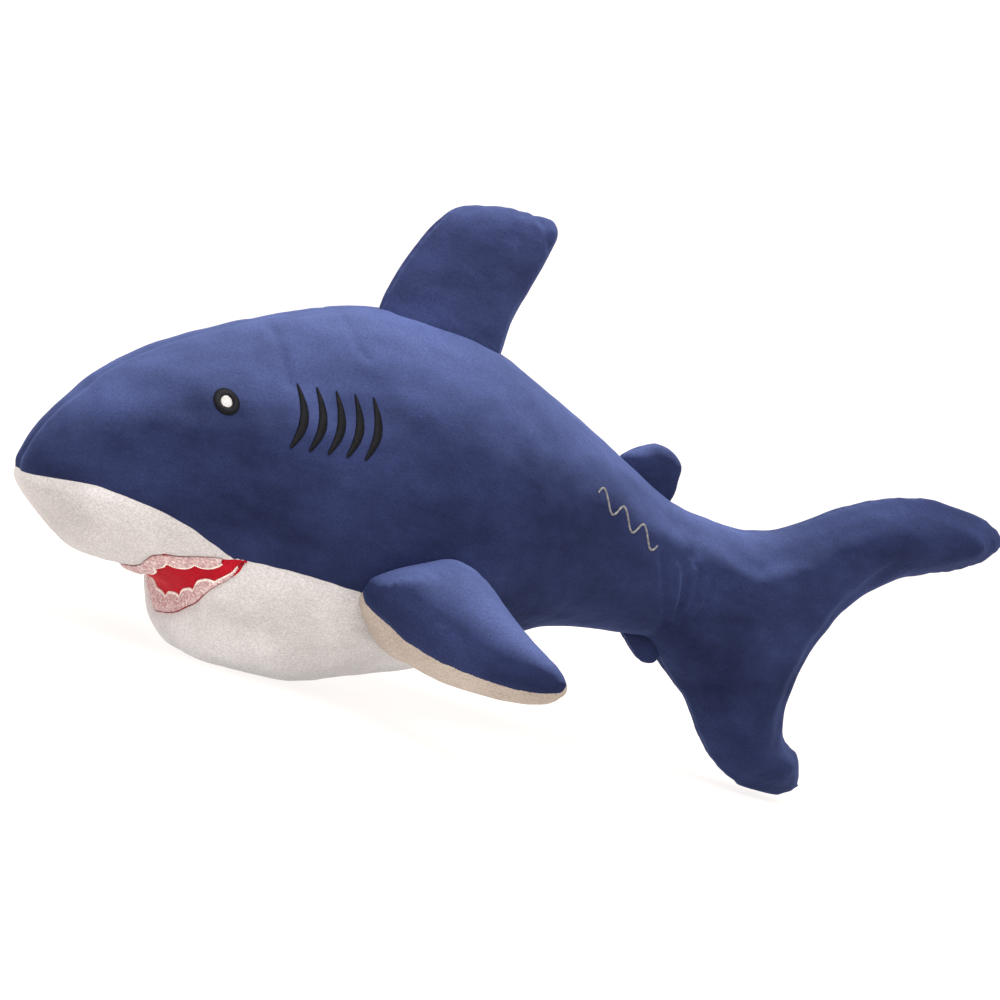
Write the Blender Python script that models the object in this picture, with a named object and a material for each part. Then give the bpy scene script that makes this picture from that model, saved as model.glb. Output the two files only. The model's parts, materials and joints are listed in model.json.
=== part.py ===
"""A plush shark as it is sewn: panels of fabric around bags of fibre. Its fins and tail bend at their seams.

Metres, +Z up. The nose points to -X and the shark's left side faces -Y. The origin is on the floor, below the
middle of the shark's length and width. The shark lies on its belly and on the tip of the tail's lower lobe.
"""

import math

import bmesh
import bpy
import numpy as np
from mathutils import Matrix, Vector
from mathutils.bvhtree import BVHTree

# Driving sizes ------------------------------------------------------------------------------------------
TRUNK_LENGTH = 0.535          # nose to the seam where the tail swings
TRUNK_HEIGHT = 0.277          # floor to the top of the back
TRUNK_HALF_WIDTH = 0.105      # widest half breadth, just behind the gills
TAIL_LENGTH = 0.265           # tail seam to the tip of the upper lobe
TAIL_HEIGHT = 0.2725          # floor to the top of the upper lobe
TAIL_HALF_DEPTH = 0.026       # half thickness of the stuffed lobes
DORSAL_START = 0.215          # nose to the front of the dorsal fin's root
DORSAL_ROOT = 0.103           # length of the dorsal fin's root
DORSAL_HEIGHT = 0.104
DORSAL_HALF_DEPTH = 0.025
SECOND_START = 0.438          # nose to the front of the second dorsal fin's root
SECOND_ROOT = 0.058
SECOND_HEIGHT = 0.029
SECOND_HALF_DEPTH = 0.011
ANAL_START = 0.487            # nose to the front of the anal fin's root
ANAL_ROOT = 0.039
ANAL_HEIGHT = 0.024
ANAL_HALF_DEPTH = 0.009
PECTORAL_START = 0.230        # nose to the front of the pectoral fin's root
PECTORAL_ROOT = 0.082         # length of the pectoral root along the shark
PECTORAL_SPAN = 0.123         # flank to fin tip, across the shark
PECTORAL_RISE = 0.034         # how much higher the root's rear end is than its front
PECTORAL_HALF_DEPTH = 0.024
PECTORAL_FRONT_HEIGHT = 0.080 # floor to the front of the pectoral root
FABRIC = 0.0015               # velvet with its backing
LINING = 0.001                # the mouth's thinner fabric
GAP = 0.0003                  # air left between neighbouring pieces
MOUTH_GAP = 0.0012            # air round the mouth's lining, whose folds are sharper
SEAM_GAP = 0.0006             # air left between two panels along a seam
ROOT_GAP = 0.0020             # air between the body's fabric and a fin's root
STITCH_GAP = 0.0006           # air under embroidery, which bridges the fabric's curve
THREAD = 0.0009               # embroidery stands this high above the fabric
TAIL_SWING = 22               # degrees that the seam's notch leaves free to each side
FIN_LEAN = 28
PECTORAL_FLAP = 32
SEAM_ROLL = 1.4               # fabric turned over at a fin's edge is this much deeper than elsewhere
LEAST_RISE = 0.002            # the trunk's widest line stays this far from its back and its belly
NOSE_SINK = 0.001             # the filling's nose lies this much deeper than the rest
STALK_START = 0.86            # share of the trunk's length from which its rear end is cut back for the tail
REAR_SEAM_TURN = 0.72         # share of a half turn, from the back, of the panel's lower fold behind the belly
FIN_TIP_DEPTH = 0.85          # a midline fin's thickness near its tip, as a share of that at its root
FIN_EDGE_ROUND = 1.3          # width of a midline fin's rounded edge, as a share of its half thickness
TAIL_EDGE_ROUND = 0.036       # width of the tail lobes' rounded edge
PECTORAL_TIP_DEPTH = 0.8      # a pectoral fin's thickness near its tip, as a share of that at its root
PECTORAL_EDGE_ROUND = 0.030   # width of its rounded edge at the root
PECTORAL_TIP_ROUND = 0.026    # and near the tip
MOUTH_SPREAD = 0.876          # middle of the jaw to the corner of the mouth, as a share of TRUNK_HALF_WIDTH
LIP_OVERRUN = 0.008           # the mouth's cutter runs this far past the lips
TOOTH_COUNT = 10              # teeth in each jaw
TOOTH_STEPS = 4               # straight runs round each tooth's edge
TOOTH_SPREAD = 0.9            # share of the mouth's half width that the teeth cover
TOOTH_INSET = 0.0012          # lip to the tooth strip
TOOTH_BASE = 0.52             # share of a strip's reach that lies between its teeth
UPPER_TOOTH_REACH = 0.0115
LOWER_TOOTH_REACH = 0.0150
EYE_FROM_NOSE = 0.106
EYE_HEIGHT = 0.181
EYE_RING_RADIUS = 0.0098
EYE_CENTRE_RADIUS = 0.0037
GILL_COUNT = 5
GILL_FROM_NOSE = 0.150        # nose to the middle of the first gill mark
GILL_PITCH = 0.0128
GILL_HEIGHT = 0.187           # floor to the middle of the first gill mark
GILL_RISE = 0.0018            # each gill mark is this much higher than the one before
GILL_LENGTH = 0.046
GILL_LEAN = 0.003             # how much farther back a mark's lower end is than its upper one
GILL_END_HALF_WIDTH = 0.0006
GILL_WIDTH = 0.0066
GILL_BULGE = 0.0085
MOTIF_START = 0.395           # nose to the front end of the flank motif
MOTIF_LENGTH = 0.068
MOTIF_HEIGHT = 0.197
MOTIF_DROP = 0.026            # how much lower the motif's rear end is
MOTIF_WAVE = 0.0075           # half height of its waves
MOTIF_WAVES = 3
MOTIF_THREAD_WIDTH = 0.0024

NOSE_X = -0.400               # nose tip in the object's frame
TAIL_X = NOSE_X + TRUNK_LENGTH
INNER = FABRIC + GAP          # depth of the filling below the outer face
MOUTH_HALF_WIDTH = TRUNK_HALF_WIDTH * MOUTH_SPREAD

# The trunk's outline, as shares of its length (first) and of its height or half width (second) ---------------
BACK = [(0, .335), (.006, .388), (.013, .438), (.032, .508), (.067, .605), (.108, .685), (.153, .752),
        (.2, .81), (.25, .863), (.3, .912), (.35, .954), (.4, .984), (.46, 1), (.515, 1), (.59, .977),
        (.67, .924), (.74, .874), (.82, .811), (.88, .765), (.93, .735), (1, .715)]
BELLY = [(0, .335), (.006, .303), (.017, .278), (.036, .254), (.058, .226), (.084, .195), (.118, .17),
         (.146, .156), (.176, .149), (.21, .147), (.222, .134), (.23, .104), (.24, .064), (.254, .03),
         (.27, 0), (.295, -.019), (.375, -.025), (.43, -.014), (.462, .01), (.52, .05), (.575, .088),
         (.604, .113), (.636, .148), (.673, .198), (.71, .248), (.755, .295), (.817, .324), (.88, .345),
         (1, .376)]
SIDE = [(0, 0), (.002, .1), (.0075, .19), (.019, .3), (.037, .415), (.067, .54), (.108, .665), (.153, .76),
        (.2, .84), (.25, .9), (.3, .948), (.374, .99), (.458, 1), (.56, .965), (.636, .895), (.707, .79),
        (.78, .665), (.858, .543), (.93, .448), (1, .38)]
WIDEST = [(0, .33), (.067, .353), (.153, .39), (.25, .42), (.374, .44), (.458, .447), (.604, .477),
          (.707, .523), (.78, .54), (1, .545)]
COLOUR_SEAM = [(0, .325), (.04, .352), (.082, .367), (.142, .361), (.196, .339), (.239, .307), (.26, .296),
               (.293, .305), (.344, .31), (.425, .307), (.477, .29), (.54, .247), (.61, .219), (.663, .224),
               (.71, .25)]
BELLY_PANEL_END = .71
SECTION_POWER = 2.15          # 2 is an ellipse, more is fuller
STATIONS = [.002, .008, .019, .037, .067, .1, .14, .175, .206, .219, .227, .236, .248, .262, .279, .302, .332,
            .37, .41, .45, .49, .53, .57, .61, .65, .68, .71, .76, .81, .86, .91, .955, 1]
UPPER_STEPS = 8               # ring steps from the back's middle line to the colour seam
LOWER_STEPS = 4               # ring steps from the colour seam to the belly's middle line

# The fins' outlines, as shares of root length (first) and height (second) ----------------------------------
DORSAL = {"lead": [(0, 0), (.03, .2), (.08, .41), (.155, .6), (.25, .78)],
          "tip": [(.25, .78), (.38, .875), (.57, .945), (.78, .99), (.97, 1), (1.06, .985), (1.12, .93)],
          "trail": [(1, 0), (1.02, .205), (1.06, .415), (1.1, .645), (1.12, .93)]}
SECOND = {"lead": [(0, 0), (.18, .55), (.3, .84)],
          "tip": [(.3, .84), (.42, .97), (.56, 1), (.72, .93), (.8, .8)],
          "trail": [(1, 0), (.92, .36), (.86, .58), (.8, .8)]}
ANAL = {"lead": [(0, 0), (.3, .48), (.5, .84)],
        "tip": [(.5, .84), (.7, 1), (.94, .97)],
        "trail": [(1, 0), (1.06, .35), (1.04, .67), (.94, .97)]}
# The tail's outline, as shares of its length and of TAIL_HEIGHT
TAIL = {"lead": [(0, .727), (.1, .733), (.22, .773), (.39, .885), (.52, .95), (.66, .987), (.8, 1),
                 (.9, .988), (.99, .94)],
        "tip": [(.99, .94), (.945, .873), (.82, .79), (.69, .73), (.565, .648), (.493, .56), (.457, .47),
                (.438, .36), (.444, .27), (.474, .19), (.534, .15), (.585, .1), (.595, .05)],
        "trail": [(0, .382), (.03, .315), (.07, .245), (.125, .18), (.195, .105), (.295, .034), (.375, .003),
                  (.46, -.004), (.535, .008), (.595, .05)]}
# The pectoral fin's edges, as shares of its root length, its span and its root's rise
PECTORAL = {"lead": [(0, 0, 0), (.14, .14, -.25), (.35, .33, -.48), (.6, .57, -.56), (.9, .82, -.51),
                     (1.2, .96, -.33)],
            "tip": [(1.2, .96, -.33), (1.34, 1, -.15), (1.36, .94, .05)],
            "trail": [(1, 0, 1), (1.1, .14, .86), (1.15, .33, .65), (1.22, .57, .41), (1.3, .8, .16),
                      (1.36, .94, .05)]}

# The mouth, at shares of its half width: where the upper lip, the fold and the lower lip run. Each is a place
# along the trunk, from the nose, and a height above the floor, as shares of the trunk's length and height.
UPPER_LIP = [(0, .151, .157), (.3, .155, .162), (.5, .163, .182), (.68, .174, .213), (.82, .2, .256),
             (.91, .226, .28), (.98, .25, .305), (1.06, .262, .34)]
LOWER_LIP = [(0, .231, .085), (.3, .233, .09), (.5, .236, .114), (.68, .238, .152), (.82, .246, .199),
             (.91, .252, .245), (.98, .258, .283), (1.06, .265, .292)]
FOLD = [(0, .256, .152), (.3, .256, .157), (.5, .257, .173), (.68, .259, .204), (.82, .263, .24),
        (.91, .268, .269), (.98, .273, .292), (1.06, .28, .314)]

BLUE = (0.045, 0.075, 0.22)
WHITE = (0.82, 0.78, 0.74)
RED = (0.70, 0.012, 0.025)
PINK = (0.80, 0.62, 0.62)
BLACK = (0.008, 0.009, 0.014)
THREAD_GREY = (0.36, 0.37, 0.40)
WHITE_THREAD = (0.9, 0.9, 0.88)
FIBRE = (0.88, 0.88, 0.86)


def clear_scene():
    for item in list(bpy.data.objects):
        bpy.data.objects.remove(item, do_unlink=True)


def fabric_material(name, colour, roughness):
    material = bpy.data.materials.new(name)
    material.use_nodes = True
    shader = material.node_tree.nodes["Principled BSDF"]
    shader.inputs["Base Color"].default_value = (*colour, 1)
    shader.inputs["Roughness"].default_value = roughness
    shader.inputs["Metallic"].default_value = 0
    return material


def follow(points, where):
    """Reads a smooth curve through (place, value) points at one or more places, without overshoot."""
    table = np.array(points, float)
    x = table[:, 0]
    y = table[:, 1]
    step = np.diff(x)
    rise = np.diff(y) / step
    slope = np.zeros(len(x))
    slope[0] = rise[0]
    slope[-1] = rise[-1]
    for i in range(1, len(x) - 1):
        if rise[i - 1] * rise[i] > 0:
            before = 2 * step[i] + step[i - 1]
            after = step[i] + 2 * step[i - 1]
            slope[i] = (before + after) / (before / rise[i - 1] + after / rise[i])
    where = np.clip(np.asarray(where, float), x[0], x[-1])
    i = np.clip(np.searchsorted(x, where, side="right") - 1, 0, len(x) - 2)
    t = (where - x[i]) / step[i]
    a = (1 + 2 * t) * (1 - t) ** 2
    b = t * (1 - t) ** 2
    c = t * t * (3 - 2 * t)
    d = t * t * (t - 1)
    return a * y[i] + b * step[i] * slope[i] + c * y[i + 1] + d * step[i] * slope[i + 1]


def along_curve(points, count):
    """count + 1 points at equal spacing along a smooth curve through the given points."""
    table = np.array(points, float)
    chord = np.linalg.norm(np.diff(table, axis=0), axis=1)
    place = np.concatenate([[0], np.cumsum(chord)])
    fine = np.linspace(0, place[-1], 400)
    columns = range(table.shape[1])
    curve = np.stack([follow(np.column_stack([place, table[:, k]]), fine) for k in columns], axis=1)
    length = np.concatenate([[0], np.cumsum(np.linalg.norm(np.diff(curve, axis=0), axis=1))])
    even = np.linspace(0, length[-1], count + 1)
    return np.stack([np.interp(even, length, curve[:, k]) for k in columns], axis=1)


def unit(vectors):
    size = np.linalg.norm(vectors, axis=-1, keepdims=True)
    return vectors / np.maximum(size, 1e-12)


def grid_normals(grid):
    """Vertex normals of a grid of points (rows, columns, 3), from its own faces only."""
    normal = np.zeros_like(grid)
    corner = grid[:-1, :-1]
    face = np.cross(grid[1:, 1:] - corner, grid[:-1, 1:] - grid[1:, :-1])
    normal[:-1, :-1] += face
    normal[1:, :-1] += face
    normal[:-1, 1:] += face
    normal[1:, 1:] += face
    return unit(normal)


def make_object(name, bm, material):
    bmesh.ops.recalc_face_normals(bm, faces=bm.faces)
    if bm.calc_volume(signed=True) < 0:
        bmesh.ops.reverse_faces(bm, faces=bm.faces)
    mesh = bpy.data.meshes.new(name)
    bm.to_mesh(mesh)
    bm.free()
    mesh.materials.append(material)
    mesh.shade_smooth()
    mesh.set_sharp_from_angle(angle=math.radians(50))
    item = bpy.data.objects.new(name, mesh)
    bpy.context.scene.collection.objects.link(item)
    return item


def add_grid(bm, grid):
    """Adds a grid's vertices and returns them as rows."""
    return [[bm.verts.new(tuple(point)) for point in row] for row in grid]


def add_face(bm, *corners):
    """One face from its corners, leaving out any that coincide."""
    kept = []
    for corner in corners:
        if corner not in kept:
            kept.append(corner)
    if len(kept) > 2:
        bm.faces.new(kept)


def skin_grid(bm, rows, turn_at=None, fin=False):
    """Faces a grid with triangles. Every layer of one panel gets the same diagonals, so the layers keep their
    distance. From column turn_at on the diagonals turn over, as on the other half of a symmetric panel. The
    first corner of a fin turns too, so that no triangle has all its corners on the fin's edge."""
    for i in range(len(rows) - 1):
        for j in range(len(rows[i]) - 1):
            a, b, c, d = rows[i][j], rows[i][j + 1], rows[i + 1][j + 1], rows[i + 1][j]
            corner = fin and i == 0 and j == len(rows[i]) - 2
            if corner or (turn_at is not None and j >= turn_at):
                add_face(bm, a, b, d)
                add_face(bm, b, c, d)
            else:
                add_face(bm, a, b, c)
                add_face(bm, a, c, d)


def border(rows):
    """A grid's border vertices in order around it."""
    top = rows[0][:-1]
    right = [row[-1] for row in rows[:-1]]
    bottom = rows[-1][:0:-1]
    left = [row[0] for row in rows[:0:-1]]
    return top + right + bottom + left


def panel_bmesh(outer, inner, turn_at=None, fin=False):
    """A closed fabric panel between an outer and an inner grid of the same layout."""
    bm = bmesh.new()
    outer_rows = add_grid(bm, outer)
    inner_rows = add_grid(bm, inner)
    skin_grid(bm, outer_rows, turn_at, fin)
    skin_grid(bm, inner_rows, turn_at, fin)
    outer_rim = border(outer_rows)
    inner_rim = border(inner_rows)
    for i in range(len(outer_rim)):
        j = (i + 1) % len(outer_rim)
        add_face(bm, outer_rim[i], outer_rim[j], inner_rim[j], inner_rim[i])
    return bm


def pull_in_border(grid, amount):
    """Moves a grid's border towards its inside, which leaves a gap at each seam."""
    moved = grid.copy()
    moved[0] += unit(grid[1] - grid[0]) * amount
    moved[-1] += unit(grid[-2] - grid[-1]) * amount
    moved[:, 0] += unit(grid[:, 1] - grid[:, 0]) * amount
    moved[:, -1] += unit(grid[:, -2] - grid[:, -1]) * amount
    return moved


# Trunk ------------------------------------------------------------------------------------------------------
def back_height(share):
    return follow(BACK, share) * TRUNK_HEIGHT


def belly_height(share):
    return follow(BELLY, share) * TRUNK_HEIGHT


def trunk_section(share):
    """Top, bottom, half width and height of the widest line at a share of the trunk's length."""
    top = back_height(share)
    bottom = belly_height(share)
    half = follow(SIDE, share) * TRUNK_HALF_WIDTH
    middle = min(max(follow(WIDEST, share) * TRUNK_HEIGHT, bottom + LEAST_RISE), top - LEAST_RISE)
    return top, bottom, half, middle


def seam_angle(share):
    """Angle from the back, round the section, at which the blue fabric ends."""
    top, bottom, half, middle = trunk_section(min(share, BELLY_PANEL_END))
    height = follow(COLOUR_SEAM, share) * TRUNK_HEIGHT
    if height < middle:
        cosine = -((middle - height) / (middle - bottom)) ** (SECTION_POWER / 2)
    else:
        cosine = ((height - middle) / (top - middle)) ** (SECTION_POWER / 2)
    angle = math.acos(max(-0.985, min(0.985, float(cosine))))
    after = (share - BELLY_PANEL_END) / (1 - BELLY_PANEL_END)
    if after > 0:
        angle += (REAR_SEAM_TURN * math.pi - angle) * min(1, after * 2)
    return angle


def section_point(share, angle):
    """A point of the trunk's outer face on its left side, at an angle from the back."""
    top, bottom, half, middle = trunk_section(share)
    across = abs(math.sin(angle)) ** (2 / SECTION_POWER) * half
    up = abs(math.cos(angle)) ** (2 / SECTION_POWER)
    height = middle + up * (top - middle) if math.cos(angle) > 0 else middle - up * (middle - bottom)
    rear = max(0, (share - STALK_START) / (1 - STALK_START))
    notch = across * math.tan(math.radians(TAIL_SWING)) * rear ** 2
    return NOSE_X + share * TRUNK_LENGTH - notch, -across, height


def trunk_grid():
    """The left half of the trunk's outer face: one row for each station, from the back to the belly."""
    rows = []
    for share in STATIONS:
        seam = seam_angle(share)
        angles = list(np.linspace(0, seam, UPPER_STEPS + 1))
        angles += list(np.linspace(seam, math.pi, LOWER_STEPS + 1))[1:]
        rows.append([section_point(share, angle) for angle in angles])
    return np.array(rows)


def mirrored(grid):
    return grid * np.array([1, -1, 1])


def sink(grid, normals, depth):
    """The grid moved inwards, kept above the floor by the same depth."""
    moved = grid - normals * depth
    moved[..., 2] = np.maximum(moved[..., 2], depth)
    return moved


def smooth_half_normals(half):
    """Normals of the left half as part of the whole trunk, so that those on its middle lines have no lean."""
    whole = np.concatenate([half, mirrored(half)[:, -2:0:-1]], axis=1)
    ring = np.concatenate([whole[:, -1:], whole, whole[:, :1]], axis=1)
    normal = grid_normals(ring)[:, 1:half.shape[1] + 1]
    outward = np.sign(np.sum(normal * (half - half.mean(axis=1, keepdims=True)), axis=-1, keepdims=True))
    return normal * np.where(outward == 0, 1, outward)


def trunk_core(outer, normals, material):
    """The filling: a closed loft of rings with a pointed nose and a ridged rear end."""
    left = sink(outer, normals, INNER)
    left[:3] -= normals[:3] * NOSE_SINK
    left[:, 0, 1] = 0
    left[:, -1, 1] = 0
    left[-1, :, 0] -= GAP
    bm = bmesh.new()
    nose = left[0].mean(axis=0) * np.array([1, 0, 1]) - np.array([NOSE_SINK, 0, 0])
    for half in (left, mirrored(left)):
        rows = add_grid(bm, half)
        skin_grid(bm, rows)
        tip = bm.verts.new(tuple(nose))
        ridge = [bm.verts.new((half[-1, 0, 0], 0, point[2])) for point in half[-1]]
        for j in range(len(ridge) - 1):
            add_face(bm, rows[0][j], rows[0][j + 1], tip)
            add_face(bm, rows[-1][j], rows[-1][j + 1], ridge[j + 1])
            add_face(bm, rows[-1][j], ridge[j + 1], ridge[j])
    bmesh.ops.remove_doubles(bm, verts=bm.verts, dist=1e-6)
    return make_object("body_stuffing", bm, material)


def white_shell(outer, normals):
    """Both halves of the white fabric, from seam to seam across the belly, as one shell."""
    seam = UPPER_STEPS
    last_row = STATIONS.index(BELLY_PANEL_END)
    part = outer[:last_row + 1, seam:]
    facing = normals[:last_row + 1, seam:]
    lower = sink(part, facing, FABRIC)
    full = np.concatenate([part, mirrored(part)[:, -2::-1]], axis=1)
    full_lower = np.concatenate([lower, mirrored(lower)[:, -2::-1]], axis=1)
    half_gap = SEAM_GAP / 2
    return panel_bmesh(pull_in_border(full, half_gap), pull_in_border(full_lower, half_gap), LOWER_STEPS)


def side_panel(word, side, outer, normals, material):
    """The blue fabric of one side: down to the colour seam, and down to the middle of the belly behind it."""
    belly_end = STATIONS.index(BELLY_PANEL_END)
    mirror = np.array([1, side, 1])
    bm = bmesh.new()
    rims = []
    for layer in (outer, sink(outer, normals, FABRIC)):
        front = pull_in_border(layer[:, :UPPER_STEPS + 1], SEAM_GAP / 2)
        behind = pull_in_border(layer[belly_end:, :], SEAM_GAP / 2)[:, UPPER_STEPS:]
        upper = add_grid(bm, front * mirror)
        lower = add_grid(bm, behind * mirror)
        skin_grid(bm, upper)
        skin_grid(bm, lower)
        for above, below in zip(upper[belly_end:], lower):
            below[0].co = above[-1].co
        rim = upper[0] + [row[-1] for row in upper[1:belly_end + 1]]
        rim += lower[0][1:]
        rim += [row[-1] for row in lower[1:]]
        rim += lower[-1][-2:0:-1]
        rim += upper[-1][::-1]
        rim += [row[0] for row in upper[-2:0:-1]]
        rims.append(rim)
    over, under = rims
    for i in range(len(over)):
        j = (i + 1) % len(over)
        add_face(bm, over[i], over[j], under[j], under[i])
    bmesh.ops.remove_doubles(bm, verts=bm.verts, dist=1e-6)
    make_object(word + "_side_panel", bm, material)


# Mouth ------------------------------------------------------------------------------------------------------
MOUTH_STATIONS = (0, .2, .36, .5, .62, .73, .82, .88, .92)
CORNER_STATIONS = (.95, .98, 1.06)


def mouth_line(points, share):
    """A point of a lip or of the fold at a signed share of the mouth's half width."""
    away = abs(share)
    table = np.array(points)
    x = NOSE_X + float(follow(table[:, [0, 1]], away)) * TRUNK_LENGTH
    z = float(follow(table[:, [0, 2]], away)) * TRUNK_HEIGHT
    return np.array([x, share * MOUTH_HALF_WIDTH, z])


def mouth_place(points, share):
    """The same on the straight runs between MOUTH_STATIONS, which the lining and the teeth share."""
    near = [mouth_line(points, station) for station in MOUTH_STATIONS]
    away = abs(share)
    place = [float(np.interp(away, MOUTH_STATIONS, [point[k] for point in near])) for k in range(3)]
    place[1] = share * MOUTH_HALF_WIDTH
    return np.array(place)


def both_ways(shares):
    """Shares of the mouth's half width from its right corner to its left one."""
    return [-share for share in shares[:0:-1]] + list(shares)


def mouth_cutter():
    """A wedge swept from corner to corner of the mouth. Its diagonals match those of the mouth's lining."""
    below_the_jaws = np.array([-0.03, 0, -0.018])
    rows = []
    for share in both_ways(MOUTH_STATIONS + CORNER_STATIONS):
        upper = mouth_line(UPPER_LIP, share)
        lower = mouth_line(LOWER_LIP, share)
        fold = mouth_line(FOLD, share)
        upper_out = upper + unit(upper - fold) * LIP_OVERRUN
        lower_out = lower + unit(lower - fold) * LIP_OVERRUN
        rows.append([fold, upper_out, (upper_out + lower_out) / 2 + below_the_jaws, lower_out])
    bm = bmesh.new()
    rings = add_grid(bm, rows)
    for i in range(len(rings) - 1):
        for j in range(4):
            k = (j + 1) % 4
            add_face(bm, rings[i][j], rings[i][k], rings[i + 1][j])
            add_face(bm, rings[i][k], rings[i + 1][k], rings[i + 1][j])
    add_face(bm, *rings[0])
    add_face(bm, *rings[-1])
    cutter = make_object("mouth_cutter", bm, bpy.data.materials["red_fabric"])
    cutter.hide_render = True
    cutter.display_type = "WIRE"
    return cutter


def cut_with(item, cutter):
    """Cuts the cutter out of an object for good."""
    modifier = item.modifiers.new("mouth", "BOOLEAN")
    modifier.operation = "DIFFERENCE"
    modifier.solver = "EXACT"
    modifier.object = cutter
    bpy.context.view_layer.update()
    evaluated = item.evaluated_get(bpy.context.evaluated_depsgraph_get())
    mesh = bpy.data.meshes.new_from_object(evaluated)
    item.modifiers.clear()
    item.data = mesh


def split_white(shell_bm, cutter, material):
    """Cuts the mouth out of the white shell and keeps its two parts as the upper jaw and the belly."""
    whole = make_object("white_fabric", shell_bm, material)
    cut_with(whole, cutter)
    for name, wanted in (("upper_jaw_panel", min), ("belly_panel", max)):
        bm = bmesh.new()
        bm.from_mesh(whole.data)
        parts = []
        unseen = set(bm.verts)
        while unseen:
            stack = [unseen.pop()]
            part = set(stack)
            while stack:
                for edge in stack.pop().link_edges:
                    for vertex in edge.verts:
                        if vertex not in part:
                            part.add(vertex)
                            stack.append(vertex)
            unseen -= part
            parts.append(part)
        parts.sort(key=len)
        parts = parts[-2:]
        kept = wanted(parts, key=lambda part: sum(v.co.x for v in part) / len(part))
        bmesh.ops.delete(bm, geom=[v for v in bm.verts if v not in kept], context="VERTS")
        make_object(name, bm, material)
    bpy.data.objects.remove(whole, do_unlink=True)


def mouth_lining(material):
    """The red fabric folded between the jaws."""
    outer_rows = []
    inner_rows = []
    for share in both_ways(MOUTH_STATIONS):
        upper = mouth_line(UPPER_LIP, share)
        lower = mouth_line(LOWER_LIP, share)
        fold = mouth_line(FOLD, share)
        to_upper = unit(upper - fold)
        to_lower = unit(lower - fold)
        out = unit(to_upper + to_lower)
        under_upper = unit(to_lower - to_upper * (to_lower @ to_upper))
        over_lower = unit(to_upper - to_lower * (to_lower @ to_upper))
        opening = float(out @ under_upper)
        for rows, depth in ((outer_rows, MOUTH_GAP), (inner_rows, MOUTH_GAP + LINING)):
            deepest = fold + out * depth / opening
            rows.append([upper + under_upper * depth, deepest, lower + over_lower * depth])
    return make_object("mouth_lining", panel_bmesh(np.array(outer_rows), np.array(inner_rows)), material)


def tooth_strip(name, lip, other_lip, reach, material):
    """A strip of scalloped teeth lying on the lining, from a lip towards the fold."""
    steps = TOOTH_COUNT * TOOTH_STEPS
    lift = MOUTH_GAP + LINING + GAP * 3
    below = []
    above = []
    for i in range(steps + 1):
        share = (2 * i / steps - 1) * TOOTH_SPREAD
        edge = mouth_place(lip, share)
        fold = mouth_place(FOLD, share)
        across = mouth_place(other_lip, share) - fold
        inward = unit(fold - edge)
        side = unit(across - inward * (across @ inward))
        room = np.linalg.norm(fold - edge) * 0.75 - 0.003
        depth = min(reach * (1 - 0.55 * abs(share) ** 3), room)
        scallop = abs(math.sin(math.pi * i / TOOTH_STEPS)) ** 0.6
        end = TOOTH_INSET + depth * (TOOTH_BASE + (1 - TOOTH_BASE) * scallop)
        pair = np.array([edge + inward * TOOTH_INSET, edge + inward * end]) + side * lift
        below.append(pair)
        above.append(pair + side * THREAD)
    return make_object(name, panel_bmesh(np.array(above), np.array(below)), material)


# Stuffed fins -----------------------------------------------------------------------------------------------
def coons(root, tip, lead, trail):
    """A surface patch between four edges. root and tip run from lead to trail."""
    u = np.linspace(0, 1, len(root))[:, None, None]
    v = np.linspace(0, 1, len(lead))[None, :, None]
    ruled = (1 - v) * root[:, None] + v * tip[:, None] + (1 - u) * lead[None] + u * trail[None]
    corners = (1 - u) * (1 - v) * root[0] + u * (1 - v) * root[-1] + (1 - u) * v * tip[0] + u * v * tip[-1]
    return ruled - corners


def distance_to_edge(points, line):
    """Shortest distance from each point to a run of straight segments."""
    best = np.full(points.shape[:-1], 1e9)
    for a, b in zip(line[:-1], line[1:]):
        run = b - a
        t = np.clip(((points - a) @ run) / max(run @ run, 1e-12), 0, 1)
        best = np.minimum(best, np.linalg.norm(points - a - t[..., None] * run, axis=-1))
    return best


def set_origin(item, place):
    """Moves an object's origin without moving its shape."""
    item.data.transform(Matrix.Translation(-Vector(place)))
    item.location = place


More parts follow.
